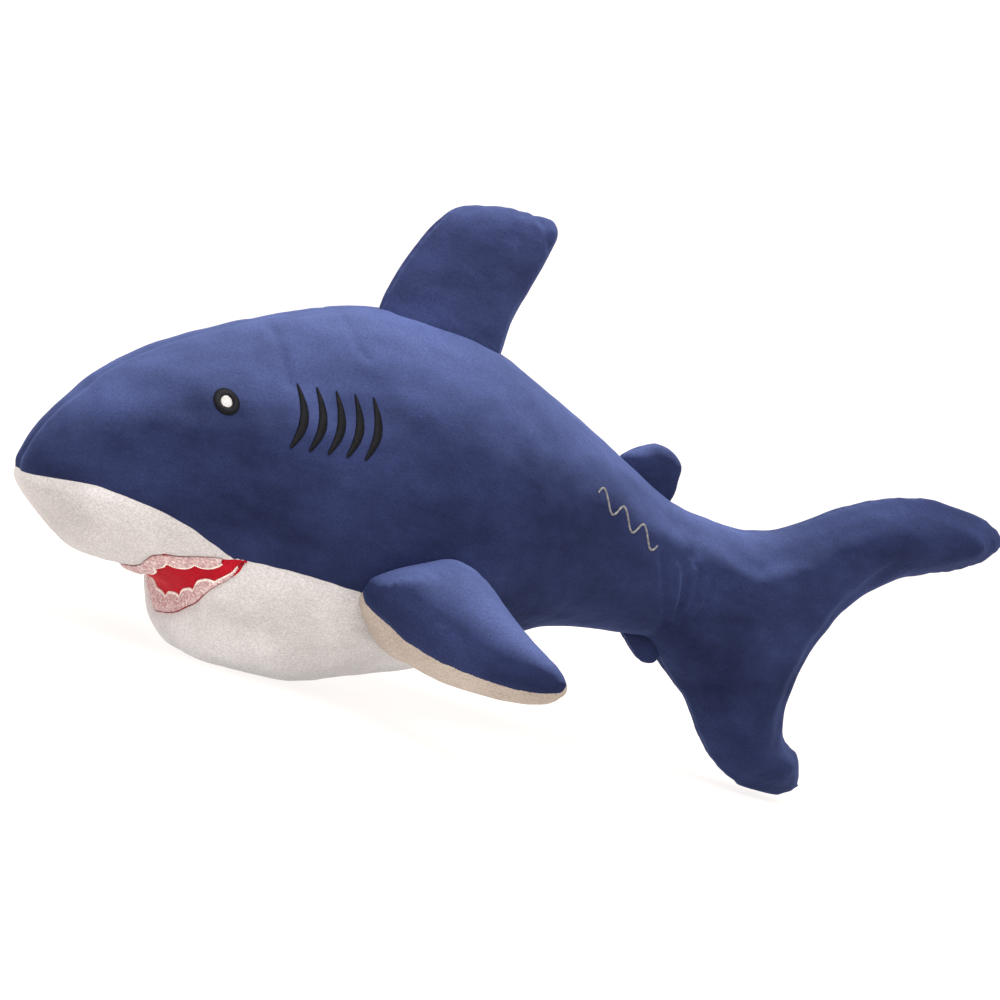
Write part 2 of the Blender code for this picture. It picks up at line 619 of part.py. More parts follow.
def fin_pieces(names, root, tip, lead, trail, depth, crown, spread, angle, pivot, materials):
    """A stuffed fin sewn from two panels: its filling and the two panels around it.

    depth is the half thickness at the root and at the tip, crown the distance from the edge at which the fin
    is full, at the root and at the tip. spread is the direction away from the body. The root is notched to
    each side of its hinge line by angle, so that it can lean without touching the body. pivot is the point on
    the hinge's axis that the three pieces have as their origin.
    """
    middle = coons(root, tip, lead, trail)
    outline = np.concatenate([lead, tip[1:], trail[::-1][1:]])
    v = np.linspace(0, 1, middle.shape[1])[None, :]
    fullness = v * v * (3 - 2 * v)
    half = depth[0] + (depth[1] - depth[0]) * fullness
    radius = crown[0] + (crown[1] - crown[0]) * fullness
    inside = np.minimum(distance_to_edge(middle, outline) / radius, 1)
    swell = half * np.sqrt(np.maximum(0, 1 - (1 - inside) ** 2))
    facing = grid_normals(middle)
    facing *= np.sign(np.sum(facing * materials["left_is"], axis=-1, keepdims=True))
    spread = np.array(spread, float)
    notch = spread * (swell * math.tan(math.radians(angle)) * (1 - v) ** 2)[..., None]
    seamed = np.zeros(middle.shape[:2], bool)
    seamed[0] = True
    seamed[-1] = True
    seamed[:, -1] = True
    faces = {}
    for side in (1, -1):
        face = middle + side * facing * swell[..., None] + notch
        normal = grid_normals(face)
        normal *= np.sign(np.sum(normal * facing * side, axis=-1, keepdims=True))
        faces[side] = (face, normal)
    outward = faces[1][1] + faces[-1][1]
    outward -= facing * np.sum(outward * facing, axis=-1, keepdims=True)
    outward = unit(outward)
    core_sides = []
    for side in (1, -1):
        face, normal = faces[side]
        shift = side * facing * SEAM_GAP / 2
        turned = FABRIC * SEAM_ROLL
        on_edge = seamed[..., None]
        outer = np.where(on_edge, face + shift, face)
        inner = np.where(on_edge, face + shift - outward * turned, face - normal * FABRIC)
        core = np.where(on_edge, face - outward * (turned + GAP * 2), face - normal * INNER)
        on_floor = outer[..., 2] <= GAP
        outer[..., 2] = np.maximum(outer[..., 2], 0)
        inner[..., 2] = np.maximum(inner[..., 2], np.where(on_floor, FABRIC, 0))
        core[..., 2] = np.maximum(core[..., 2], np.where(on_floor, INNER, 0))
        name = names[1] if side == 1 else names[2]
        make_object(name, panel_bmesh(outer, inner, fin=True), materials[name])
        core_sides.append(core)
    bm = bmesh.new()
    side_rows = [add_grid(bm, core) for core in core_sides]
    for rows in side_rows:
        skin_grid(bm, rows, fin=True)
    keel = [bm.verts.new(tuple(point)) for point in (core_sides[0][:, 0] + core_sides[1][:, 0]) / 2
            - notch[:, 0]]
    for rows in side_rows:
        for j in range(len(keel) - 1):
            add_face(bm, rows[j][0], rows[j + 1][0], keel[j + 1], keel[j])
    bmesh.ops.remove_doubles(bm, verts=bm.verts, dist=1e-6)
    make_object(names[0], bm, materials[names[0]])
    for name in names:
        set_origin(bpy.data.objects[name], pivot)


def midline_fin(prefix, outline, start, length, height, half_depth, above, steps, parts):
    """A fin on the shark's middle line, whose root follows the back or the belly."""
    end = start + length
    line = back_height if above else belly_height
    up = 1 if above else -1
    front = np.array([NOSE_X + start, 0, float(line(start / TRUNK_LENGTH))])
    rear = np.array([NOSE_X + end, 0, float(line(end / TRUNK_LENGTH))])
    along = unit(rear - front)
    away = unit(np.cross(along, np.array([0, 1, 0]))) * up
    along_length = np.linalg.norm(rear - front)

    def edge(points, count):
        shape = along_curve(points, count)
        return front + along * (shape[:, :1] * along_length) + away * (shape[:, 1:] * height + ROOT_GAP)

    chord, rise = steps
    share = np.linspace(start, end, chord + 1) / TRUNK_LENGTH
    root = np.stack([NOSE_X + share * TRUNK_LENGTH, share * 0, line(share)], axis=1) + away * ROOT_GAP
    lead = edge(outline["lead"], rise)
    trail = edge(outline["trail"], rise)
    lead[0] = root[0]
    trail[0] = root[-1]
    names = (prefix + "_stuffing", prefix + "_left_panel", prefix + "_right_panel")
    materials = {names[0]: parts["fibre"], names[1]: parts["blue"], names[2]: parts["blue"],
                 "left_is": np.array([0, -1, 0])}
    tip = edge(outline["tip"], chord)
    crown = half_depth * FIN_EDGE_ROUND
    fin_pieces(names, root, tip, lead, trail, (half_depth, half_depth * FIN_TIP_DEPTH), (crown, crown), away,
               FIN_LEAN, (root[0] + root[-1]) / 2, materials)


def tail_pieces(parts):
    """The tail: round where it meets the trunk, flat and forked behind."""
    def edge(points, count):
        shape = along_curve(points, count)
        x = TAIL_X + ROOT_GAP + shape[:, 0] * TAIL_LENGTH
        return np.stack([x, x * 0, shape[:, 1] * TAIL_HEIGHT], axis=1)

    chord = 12
    run = 12
    top = float(back_height(1))
    bottom = float(belly_height(1))
    lead = edge(TAIL["lead"], run)
    trail = edge(TAIL["trail"], run)
    fade = np.linspace(1, 0, run + 1)[:, None] ** 2
    lead += fade * (np.array([TAIL_X + ROOT_GAP, 0, top]) - lead[0])
    trail += fade * (np.array([TAIL_X + ROOT_GAP, 0, bottom]) - trail[0])
    turn = (1 - np.cos(np.linspace(0, math.pi, chord + 1))) / 2
    root = lead[0] + (trail[0] - lead[0]) * turn[:, None]
    stalk = float(follow(SIDE, 1)) * TRUNK_HALF_WIDTH
    names = ("tail_stuffing", "left_tail_panel", "right_tail_panel")
    materials = {names[0]: parts["fibre"], names[1]: parts["blue"], names[2]: parts["blue"],
                 "left_is": np.array([0, -1, 0])}
    pivot = (TAIL_X + ROOT_GAP / 2, 0, (top + bottom) / 2)
    fin_pieces(names, root, edge(TAIL["tip"], chord), lead, trail, (stalk, TAIL_HALF_DEPTH),
               ((top - bottom) / 2, TAIL_EDGE_ROUND), (1, 0, 0), TAIL_SWING, pivot, materials)


def pectoral_pieces(side, prefix, parts):
    """A pectoral fin. side is 1 for the shark's left, which faces -Y, and -1 for its right."""
    middle_share = (PECTORAL_START + PECTORAL_ROOT / 2) / TRUNK_LENGTH
    flank = float(follow(SIDE, middle_share)) * TRUNK_HALF_WIDTH

    def edge(points, count):
        shape = along_curve(points, count)
        x = NOSE_X + PECTORAL_START + shape[:, 0] * PECTORAL_ROOT
        y = -side * (flank + ROOT_GAP + shape[:, 1] * PECTORAL_SPAN)
        z = PECTORAL_FRONT_HEIGHT + shape[:, 2] * PECTORAL_RISE
        return np.stack([x, y, z], axis=1)

    chord = 9
    run = 9
    lead = edge(PECTORAL["lead"], run)
    trail = edge(PECTORAL["trail"], run)
    tip = edge(PECTORAL["tip"], chord)
    root = lead[0] + (trail[0] - lead[0]) * np.linspace(0, 1, chord + 1)[:, None]
    names = (prefix + "_stuffing", prefix + "_upper_panel", prefix + "_lower_panel")
    materials = {names[0]: parts["fibre"], names[1]: parts["blue"], names[2]: parts["white"],
                 "left_is": np.array([0, 0, 1])}
    depth = (PECTORAL_HALF_DEPTH, PECTORAL_HALF_DEPTH * PECTORAL_TIP_DEPTH)
    crown = (PECTORAL_EDGE_ROUND, PECTORAL_TIP_ROUND)
    fin_pieces(names, root, tip, lead, trail, depth, crown, (0, -side, 0), PECTORAL_FLAP,
               (root[0] + root[-1]) / 2, materials)


# Embroidery -------------------------------------------------------------------------------------------------
def panel_tree(item):
    return BVHTree.FromPolygons([v.co.copy() for v in item.data.vertices],
                                [tuple(p.vertices) for p in item.data.polygons])


def on_flank(tree, x, z, side):
    """Where a needle pushed in from the side at x and z meets the fabric, and the fabric's facing there."""
    point, normal = tree.ray_cast(Vector((x, -side * 0.5, z)), Vector((0, side, 0)))[:2]
    if normal.y * side > 0:
        normal = -normal
    return np.array(point), np.array(normal)


def stitched_patch(name, tree, side, outline, material):
    """A raised patch of thread over a grid of (x, z) places on the flank."""
    below = []
    above = []
    for row in outline:
        hits = [on_flank(tree, x, z, side) for x, z in row]
        below.append([point + normal * STITCH_GAP for point, normal in hits])
        above.append([point + normal * (STITCH_GAP + THREAD) for point, normal in hits])
    return make_object(name, panel_bmesh(np.array(above), np.array(below)), material)


def stitched_ring(name, tree, side, centre, inner, outer, material):
    """A raised ring of thread round the eye's centre."""
    steps = 20
    bm = bmesh.new()
    loops = []
    high = STITCH_GAP + THREAD
    for radius, lift in ((inner, STITCH_GAP), (outer, STITCH_GAP), (outer, high), (inner, high)):
        loop = []
        for i in range(steps):
            turn = 2 * math.pi * i / steps
            x = centre[0] + radius * math.cos(turn)
            z = centre[1] + radius * math.sin(turn)
            point, normal = on_flank(tree, x, z, side)
            loop.append(bm.verts.new(tuple(point + normal * lift)))
        loops.append(loop)
    for a in range(4):
        b = (a + 1) % 4
        for i in range(steps):
            j = (i + 1) % steps
            add_face(bm, loops[a][i], loops[a][j], loops[b][j], loops[b][i])
    return make_object(name, bm, material)


def eyes(tree, side, word, parts):
    centre = (NOSE_X + EYE_FROM_NOSE, EYE_HEIGHT)
    hole = EYE_CENTRE_RADIUS + GAP
    stitched_ring(word + "_eye_ring", tree, side, centre, hole, EYE_RING_RADIUS, parts["black"])
    across = 4
    rows = []
    for i in range(across + 1):
        row = []
        for j in range(across + 1):
            u = 2 * i / across - 1
            v = 2 * j / across - 1
            x = u * math.sqrt(1 - v * v / 2) * EYE_CENTRE_RADIUS
            z = v * math.sqrt(1 - u * u / 2) * EYE_CENTRE_RADIUS
            row.append((centre[0] + x, centre[1] + z))
        rows.append(row)
    stitched_patch(word + "_eye_centre", tree, side, rows, parts["white_thread"])


def gills(tree, side, word, parts):
    """Curved gill marks, each bulging to the rear and a little higher than the one before."""
    steps = 8
    for number in range(GILL_COUNT):
        x = NOSE_X + GILL_FROM_NOSE + number * GILL_PITCH
        z = GILL_HEIGHT + number * GILL_RISE
        rows = []
        for i in range(steps + 1):
            t = i / steps
            bow = GILL_BULGE * math.sin(math.pi * t) + GILL_LEAN * t
            half = GILL_END_HALF_WIDTH + GILL_WIDTH / 2 * math.sin(math.pi * t) ** 0.7
            height = z + GILL_LENGTH * (0.5 - t)
            rows.append([(x + bow - half, height), (x + bow, height), (x + bow + half, height)])
        stitched_patch(f"{word}_gill_{number + 1}", tree, side, rows, parts["black"])


def flank_motif(tree, parts):
    """A plain wave line along the left flank."""
    steps = 48
    rows = []
    places = []
    for i in range(steps + 1):
        t = i / steps
        x = NOSE_X + MOTIF_START + t * MOTIF_LENGTH
        z = MOTIF_HEIGHT - t * MOTIF_DROP + MOTIF_WAVE * math.sin(2 * math.pi * MOTIF_WAVES * t)
        places.append(np.array([x, z]))
    for i in range(steps + 1):
        run = places[min(i + 1, steps)] - places[max(i - 1, 0)]
        run = run / np.linalg.norm(run)
        across = np.array([-run[1], run[0]]) * MOTIF_THREAD_WIDTH / 2
        rows.append([tuple(places[i] - across), tuple(places[i] + across)])
    stitched_patch("flank_motif", tree, 1, rows, parts["thread_grey"])


# The whole shark --------------------------------------------------------------------------------------------
def build():
    clear_scene()
    parts = {"fibre": fabric_material("fibre", FIBRE, 0.95),
             "blue": fabric_material("blue_velvet", BLUE, 0.85),
             "white": fabric_material("white_fabric", WHITE, 0.85),
             "red": fabric_material("red_fabric", RED, 0.8),
             "pink": fabric_material("tooth_fabric", PINK, 0.8),
             "black": fabric_material("black_thread", BLACK, 0.45),
             "white_thread": fabric_material("white_thread", WHITE_THREAD, 0.5),
             "thread_grey": fabric_material("grey_thread", THREAD_GREY, 0.5)}
    outer = trunk_grid()
    outer[..., 2] = np.maximum(outer[..., 2], 0)
    normals = smooth_half_normals(outer)
    core = trunk_core(outer, normals, parts["fibre"])
    for side, word in ((1, "left"), (-1, "right")):
        side_panel(word, side, outer, normals, parts["blue"])
    cutter = mouth_cutter()
    cut_with(core, cutter)
    split_white(white_shell(outer, normals), cutter, parts["white"])
    mouth_lining(parts["red"])
    tooth_strip("upper_teeth", UPPER_LIP, LOWER_LIP, UPPER_TOOTH_REACH, parts["pink"])
    tooth_strip("lower_teeth", LOWER_LIP, UPPER_LIP, LOWER_TOOTH_REACH, parts["pink"])
    tail_pieces(parts)
    midline_fin("dorsal_fin", DORSAL, DORSAL_START, DORSAL_ROOT, DORSAL_HEIGHT, DORSAL_HALF_DEPTH, True,
                (9, 9), parts)
    midline_fin("second_dorsal_fin", SECOND, SECOND_START, SECOND_ROOT, SECOND_HEIGHT, SECOND_HALF_DEPTH, True,
                (7, 5), parts)
    midline_fin("anal_fin", ANAL, ANAL_START, ANAL_ROOT, ANAL_HEIGHT, ANAL_HALF_DEPTH, False, (6, 5), parts)
    pectoral_pieces(1, "left_pectoral_fin", parts)
    pectoral_pieces(-1, "right_pectoral_fin", parts)
    for side, word in ((1, "left"), (-1, "right")):
        tree = panel_tree(bpy.data.objects[word + "_side_panel"])
        eyes(tree, side, word, parts)
        gills(tree, side, word, parts)
    flank_motif(panel_tree(bpy.data.objects["left_side_panel"]), parts)


build()
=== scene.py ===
# %% [markdown]
# # A plush shark
#
# The toy is sewn from flat pieces of fabric and filled with loose fibre. Dark blue velvet covers its back and
# sides, and a warm white plush covers its throat, its belly and the undersides of the front fins. The mouth is a
# fold of red fabric with two strips of felt teeth. The eyes, the gill marks and a wave line are embroidered.
#
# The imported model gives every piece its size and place. It is loaded first, and everything after it is fitted
# around it, in metres, with +Z up, the nose towards -X and the shark's left side towards -Y.

import json
import math

import bmesh
import bpy
import numpy as np
from mathutils import Matrix, Vector
from mathutils.bvhtree import BVHTree
from mathutils.kdtree import KDTree


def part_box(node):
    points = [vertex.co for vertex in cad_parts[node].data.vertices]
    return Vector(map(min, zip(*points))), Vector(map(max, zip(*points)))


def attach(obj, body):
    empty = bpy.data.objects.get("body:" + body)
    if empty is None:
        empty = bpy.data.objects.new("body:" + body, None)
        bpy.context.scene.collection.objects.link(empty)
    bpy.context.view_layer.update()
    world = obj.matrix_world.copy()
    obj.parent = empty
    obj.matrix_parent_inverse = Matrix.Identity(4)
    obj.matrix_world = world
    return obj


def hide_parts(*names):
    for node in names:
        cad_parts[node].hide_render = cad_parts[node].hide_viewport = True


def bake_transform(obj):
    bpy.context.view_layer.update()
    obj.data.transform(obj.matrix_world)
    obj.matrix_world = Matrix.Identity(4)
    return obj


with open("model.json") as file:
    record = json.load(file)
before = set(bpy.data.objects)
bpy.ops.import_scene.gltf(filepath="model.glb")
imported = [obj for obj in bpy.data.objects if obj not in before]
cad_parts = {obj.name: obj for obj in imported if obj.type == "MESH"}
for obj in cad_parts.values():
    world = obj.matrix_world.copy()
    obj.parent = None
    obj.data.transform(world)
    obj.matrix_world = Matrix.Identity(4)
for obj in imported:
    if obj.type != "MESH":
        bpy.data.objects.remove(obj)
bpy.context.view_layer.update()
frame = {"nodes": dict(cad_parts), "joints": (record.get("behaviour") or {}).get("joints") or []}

# %% [markdown]
# ## Helpers for working on many points at once
#
# A sewn surface has tens of thousands of points, so they are moved as arrays of numbers, which is much faster
# than moving them one by one. These helpers read a mesh's points and edges, write them back, and smooth them.
# The smoothing takes a step in and a smaller step out again, so that the form doesn't shrink.


# %% Read, write and smooth the points of a mesh
def points_of(mesh):
    flat = np.zeros(len(mesh.vertices) * 3)
    mesh.vertices.foreach_get("co", flat)
    return flat.reshape(-1, 3)


def set_points(mesh, points):
    mesh.vertices.foreach_set("co", np.ascontiguousarray(points, np.float32).ravel())
    mesh.update()


def normals_of(mesh):
    flat = np.zeros(len(mesh.vertices) * 3)
    mesh.vertices.foreach_get("normal", flat)
    return flat.reshape(-1, 3)


def edges_of(mesh):
    flat = np.zeros(len(mesh.edges) * 2, np.int32)
    mesh.edges.foreach_get("vertices", flat)
    return flat.reshape(-1, 2)


def neighbour_mean(values, edges):
    """For each point, the mean of a value over the points it shares an edge with."""
    count = np.bincount(edges.ravel(), minlength=len(values))
    total = np.zeros_like(values)
    columns = values.reshape(len(values), -1)
    for k in range(columns.shape[1]):
        summed = np.bincount(edges[:, 0], columns[edges[:, 1], k], len(values))
        summed += np.bincount(edges[:, 1], columns[edges[:, 0], k], len(values))
        total.reshape(len(values), -1)[:, k] = summed
    return total / np.maximum(count, 1).reshape([-1] + [1] * (values.ndim - 1))


def smooth_points(mesh, rounds):
    edges = edges_of(mesh)
    points = points_of(mesh)
    for _ in range(rounds):
        for step in (0.5, -0.52):
            points = points + (neighbour_mean(points, edges) - points) * step
    set_points(mesh, points)


def new_object(name, mesh):
    item = bpy.data.objects.new(name, mesh)
    bpy.context.scene.collection.objects.link(item)
    return item


# %% [markdown]
# A seam or a lip is drawn as a smooth line through a few places. The first helper reads such a line anywhere
# between them, without swinging past the places it goes through. The others say how far points are from a line
# of places or from a surface, which is how a groove or a fold is kept to its own neighbourhood.


# %% Smooth lines and distances
def along(places, where):
    table = np.array(places, float)
    x, y = table[:, 0], table[:, 1]
    rise = np.diff(y) / np.diff(x)
    slope = np.concatenate([rise[:1], np.zeros(len(x) - 2), rise[-1:]])
    same = rise[:-1] * rise[1:] > 0
    slope[1:-1][same] = 2 * rise[:-1][same] * rise[1:][same] / (rise[:-1] + rise[1:])[same]
    where = np.clip(where, x[0], x[-1])
    i = np.clip(np.searchsorted(x, where, side="right") - 1, 0, len(x) - 2)
    step = x[i + 1] - x[i]
    t = (where - x[i]) / step
    start = (1 + 2 * t) * (1 - t) ** 2 * y[i] + t * (1 - t) ** 2 * step * slope[i]
    return start + t * t * (3 - 2 * t) * y[i + 1] + t * t * (t - 1) * step * slope[i + 1]


def distance_to(points, targets):
    """How far each point is from the nearest of some places."""
    tree = KDTree(len(targets))
    for i, target in enumerate(targets):
        tree.insert(Vector(target), i)
    tree.balance()
    return np.array([tree.find(Vector(p))[2] for p in points])


def bump(distance, width):
    """1 at no distance, falling smoothly to nothing over about twice the width."""
    return np.exp(-(distance / width) ** 2)


def tree_of(mesh):
    """A surface, sorted so that the nearest place on it is found quickly."""
    return BVHTree.FromPolygons([v.co.copy() for v in mesh.vertices], [tuple(p.vertices) for p in mesh.polygons])


def how_far(points, tree):
    return np.array([tree.find_nearest(Vector(p))[3] for p in points])


# %% [markdown]
# Fabric is never quite even: it gathers a little at a seam and dimples where the filling is thin. This gives
# each point a smooth number between -1 and 1 that changes over a chosen distance. It adds up a few sine waves
# with fixed directions, so it is the same on every run.


# %% Gentle unevenness
def unevenness(points, size, seed):
    chance = np.random.default_rng(seed)
    total = np.zeros(len(points))
    for _ in range(7):
        direction = chance.normal(size=3)
        direction *= chance.uniform(0.6, 1.4) * 2 * math.pi / (size * np.linalg.norm(direction))
        total += np.sin(points @ direction + chance.uniform(0, 6.3))
    return total / 3.5


# %% [markdown]
# ## The filled form
#
# On the real toy the velvet runs unbroken from the snout to the tail, and only bends where the tail swings. The
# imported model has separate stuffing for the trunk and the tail, with a notch between them for the swing. Here
# both are joined, the notch is bridged, and the whole is wrapped in one even skin by a voxel remesh, which
# turns any closed shapes that overlap into a single surface of small squares. The skin is then moved out by the
# thickness of the fabric.


# %% Wrap stuffing in one skin
FABRIC = 0.0018


def stuffing(bm, name):
    bm.from_mesh(frame["nodes"][name].data)


def bridge(bm, points):
    """Adds the tightest closed wrapping of some points."""
    corners = [bm.verts.new(tuple(p)) for p in points]
    made = bmesh.ops.convex_hull(bm, input=corners, use_existing_faces=False)
    inside = [v for v in made["geom_interior"] if isinstance(v, bmesh.types.BMVert)]
    bmesh.ops.delete(bm, geom=inside, context="VERTS")


def even_skin(name, bm, voxel, rounds):
    mesh = bpy.data.meshes.new(name)
    bmesh.ops.remove_doubles(bm, verts=bm.verts, dist=2e-5)
    bm.to_mesh(mesh)
    bm.free()
    item = new_object(name, mesh)
    remesh = item.modifiers.new("even skin", "REMESH")
    remesh.mode = "VOXEL"
    remesh.voxel_size = voxel
    bpy.context.view_layer.update()
    even = bpy.data.meshes.new_from_object(item.evaluated_get(bpy.context.evaluated_depsgraph_get()))
    item.modifiers.clear()
    item.data = even
    smooth_points(even, rounds)
    set_points(even, points_of(even) + normals_of(even) * FABRIC)
    print(name, len(even.vertices), "points after the remesh")
    return item


TAIL_HINGE_X = 0.136
NOTCH_REACH = 0.034
SKIN_SQUARE = 0.005

bm = bmesh.new()
stuffing(bm, "body_stuffing")
stuffing(bm, "tail_stuffing")
ends = np.concatenate([points_of(frame["nodes"][n].data) for n in ("body_stuffing", "tail_stuffing")])
bridge(bm, ends[np.abs(ends[:, 0] - TAIL_HINGE_X) < NOTCH_REACH])
skin = even_skin("skin", bm, SKIN_SQUARE, 8)

# %% [markdown]
# ## Blow it up
#
# A stuffed skin is tight and round where it can bulge, and drawn in where it can't. That is what a cloth
# simulation with air pressure inside gives: gravity is off and the skin swells for twenty frames. Cloth also
# slides along itself and shrinks, so only its movement outwards is kept, up to a cap, and the toy stays the size
# it was sewn. The mouth is held back, so that it stays a clean fold.


# %% Swell a skin with pressure
def plump(item, cap, ease=1.0, pressure=4.0, frames=20):
    """Ease says, from 0 to 1, how freely each point may move."""
    before = points_of(item.data)
    outward = normals_of(item.data)
    cloth = item.modifiers.new("cloth", "CLOTH")
    cloth.settings.use_pressure = True
    cloth.settings.uniform_pressure_force = pressure
    cloth.settings.effector_weights.gravity = 0
    cloth.point_cache.frame_start = 1
    cloth.point_cache.frame_end = frames
    for number in range(1, frames + 1):
        bpy.context.scene.frame_set(number)
    shaped = item.evaluated_get(bpy.context.evaluated_depsgraph_get())
    after = points_of(shaped.data)
    item.modifiers.remove(cloth)
    bpy.context.scene.frame_set(1)
    swell = np.clip(((after - before) * outward).sum(axis=1), -0.0002, cap) * ease
    set_points(item.data, before + outward * swell[:, None])
    print(item.name, "swelled by", round(float(swell.mean()) * 1000, 2), "mm on average")


def refine(item):
    """One subdivision, which halves the size of the squares and rounds them off."""
    item.modifiers.new("finer", "SUBSURF").levels = 1
    bpy.context.view_layer.update()
    finer = bpy.data.meshes.new_from_object(item.evaluated_get(bpy.context.evaluated_depsgraph_get()))
    item.modifiers.clear()
    item.data = finer
    print(item.name, len(finer.vertices), "points after refining")


# %% Swell the body
MOST_SWELL = 0.0035
MOUTH_HOLD = 0.03
lining_tree, jaw_tree, belly_tree = (tree_of(frame["nodes"][name].data)
                                     for name in ("mouth_lining", "upper_jaw_panel", "belly_panel"))
ease = np.clip(how_far(points_of(skin.data), lining_tree) / MOUTH_HOLD, 0, 1)
plump(skin, MOST_SWELL, ease)
smooth_points(skin.data, 2)
refine(skin)

# %% [markdown]
# The filling pushes the lips apart: the edge of the upper jaw curls up a little, and the edge of the lower jaw
# curls down and back, so that the red fold shows between them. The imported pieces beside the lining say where
# the lips are, and the skin near them is moved. The tips of the tail are drawn out slightly, where the corner of
# the fabric is pushed out with a stick after sewing.


# %% Part the lips and draw out the tail
LIP_CURL = 0.0065
LOWER_LIP_BACK = 0.004
TAIL_TIP_DRAW = 0.006


def edge_beside_lining(name):
    edge = points_of(frame["nodes"][name].data)
    return edge[how_far(edge, lining_tree) < 0.003]


points = points_of(skin.data)
upper_edge, lower_edge = edge_beside_lining("upper_jaw_panel"), edge_beside_lining("belly_panel")
lower_edge = lower_edge[np.abs(lower_edge[:, 1]) < 0.06]
points[:, 2] += LIP_CURL * bump(distance_to(points, upper_edge), 0.022)
near_lower = bump(distance_to(points, lower_edge), 0.018)
points[:, 2] -= LIP_CURL * near_lower
points[:, 0] += LOWER_LIP_BACK * near_lower
points[:, 0] += TAIL_TIP_DRAW * np.clip((points[:, 0] - 0.33) / 0.06, 0, 1) ** 2
set_points(skin.data, points)
print("lips opened along", len(upper_edge), "and", len(lower_edge), "places")

# %% [markdown]
# ## Where the pieces of fabric meet
#
# The pattern of the toy is three kinds of line on the skin. The blue and the white meet along a line on each
# flank that dips to the corner of the mouth. The two blue halves meet on the middle line. The red mouth starts
# at the upper lip, goes in to a fold and comes out at the lower lip. Each lip is given by its height at a few
# distances from the middle of the toy, and the fold by its places at shares of the mouth's half width.
#
# Each line is the place where a number is zero, as a shore line is where the height is zero. The number is
# worked out at every point of the skin, and the skin is then cut along it.

# %% The lines of the pattern
SEAM = [(-0.402, 0.0895), (-0.379, 0.0975), (-0.356, 0.1017), (-0.324, 0.1), (-0.295, 0.0939), (-0.272, 0.085),
        (-0.261, 0.082), (-0.243, 0.0845), (-0.216, 0.0859), (-0.173, 0.085), (-0.145, 0.0803),
        (-0.111, 0.0684), (-0.074, 0.0607), (-0.045, 0.062), (-0.022, 0.066), (-0.012, 0.03), (0.0, -0.05)]
MOUTH_HALF_WIDTH = 0.092
UPPER_LIP = [(0, .056), (.03, .058), (.05, .062), (.062, .0675), (.07, .072), (.083, .0785), (.092, .0825), (.11, .09)]
LOWER_LIP = [(0, .0215), (.028, .0275), (.046, .0355), (.065, .047), (.081, .062), (.088, .0715), (.092, .0815),
             (.11, .13)]
LIP_FRONT = -0.306
FOLD_X = [(0, -0.263), (.3, -0.263), (.5, -0.2625), (.68, -0.2615), (.82, -0.2595), (.91, -0.2565),
          (.98, -0.254), (1.06, -0.25)]
FOLD_Z = [(0, .042), (.3, .0435), (.5, .048), (.68, .0565), (.82, .0665), (.91, .0745), (.98, .081), (1.06, .087)]


def fold_of_mouth(share):
    """Places on the fold inside the mouth, at shares of the mouth's half width."""
    share = np.asarray(share, float)
    return np.stack([along(FOLD_X, np.abs(share)), share * MOUTH_HALF_WIDTH, along(FOLD_Z, np.abs(share))], axis=-1)


def mouth_field(points):
    """Above zero between the heights of the two lips. Also whether the upper white piece is the nearer one."""
    away = np.abs(points[:, 1])
    upper = how_far(points, jaw_tree) < how_far(points, belly_tree)
    reach = np.minimum(along(UPPER_LIP, away) - points[:, 2], points[:, 2] - along(LOWER_LIP, away))
    return np.where(upper, np.minimum(reach, points[:, 0] - LIP_FRONT), reach), upper


def colour_field(points):
    """Above zero where the fabric is blue."""
    return points[:, 2] - along(SEAM, points[:, 0])


print("colour seam from x", SEAM[0][0], "to", SEAM[-1][0], "with", len(SEAM), "places")

# %% [markdown]
# Cutting works edge by edge. Where the number changes sign along an edge, the edge is split at the place where
# it would be zero, and the two new points of each square are joined. A point that lies almost on the line is
# moved onto it first, so that no slivers are left.


# %% Cut a skin along a zero line
SNAP = 0.22


def cut_along(bm, field_of, where=None):
    bm.verts.index_update()
    corners = list(bm.verts)
    points = np.array([v.co for v in corners])
    field = field_of(points)
    chosen = np.ones(len(points), bool) if where is None else where(points)
    pairs = [(e, e.verts[0].index, e.verts[1].index) for e in bm.edges]
    crossing = [(e, a, b) for e, a, b in pairs if field[a] * field[b] < 0 and chosen[a] and chosen[b]]
    snapped = set()
    for e, a, b in crossing:
        t = field[a] / (field[a] - field[b])
        near = a if t < SNAP else b if t > 1 - SNAP else None
        if near is not None and near not in snapped:
            corners[near].co = Vector(points[a] + (points[b] - points[a]) * t)
            snapped.add(near)
    for near in snapped:
        field[near] = 0.0
    on_line = {corners[i] for i in np.nonzero(np.abs(field) < 1e-12)[0]}
    for e, a, b in crossing:
        if field[a] * field[b] < 0:
            t = field[a] / (field[a] - field[b])
            on_line.add(bmesh.utils.edge_split(e, corners[a], t)[1])
    for face in list({f for v in on_line for f in v.link_faces}):
        ends = [v for v in face.verts if v in on_line]
        if len(ends) == 2 and not any({*edge.verts} == {*ends} for edge in face.edges):
            bmesh.utils.face_split(face, ends[0], ends[1])
    return on_line


bm = bmesh.new()
bm.from_mesh(skin.data)
cut_along(bm, colour_field)
cut_along(bm, lambda p: mouth_field(p)[0], lambda p: (colour_field(p) < 0.004) & (p[:, 0] < -0.2))
cut_along(bm, lambda p: p[:, 1], lambda p: colour_field(p) > -0.004)
bm.to_mesh(skin.data)
bm.free()
print("the cut skin has", len(skin.data.polygons), "faces")

# %% [markdown]
# Each face of the skin now lies wholly on one piece of fabric, and its middle says which.

# %% Tell the pieces apart
PIECES = ("left_side", "right_side", "throat", "belly", "mouth")


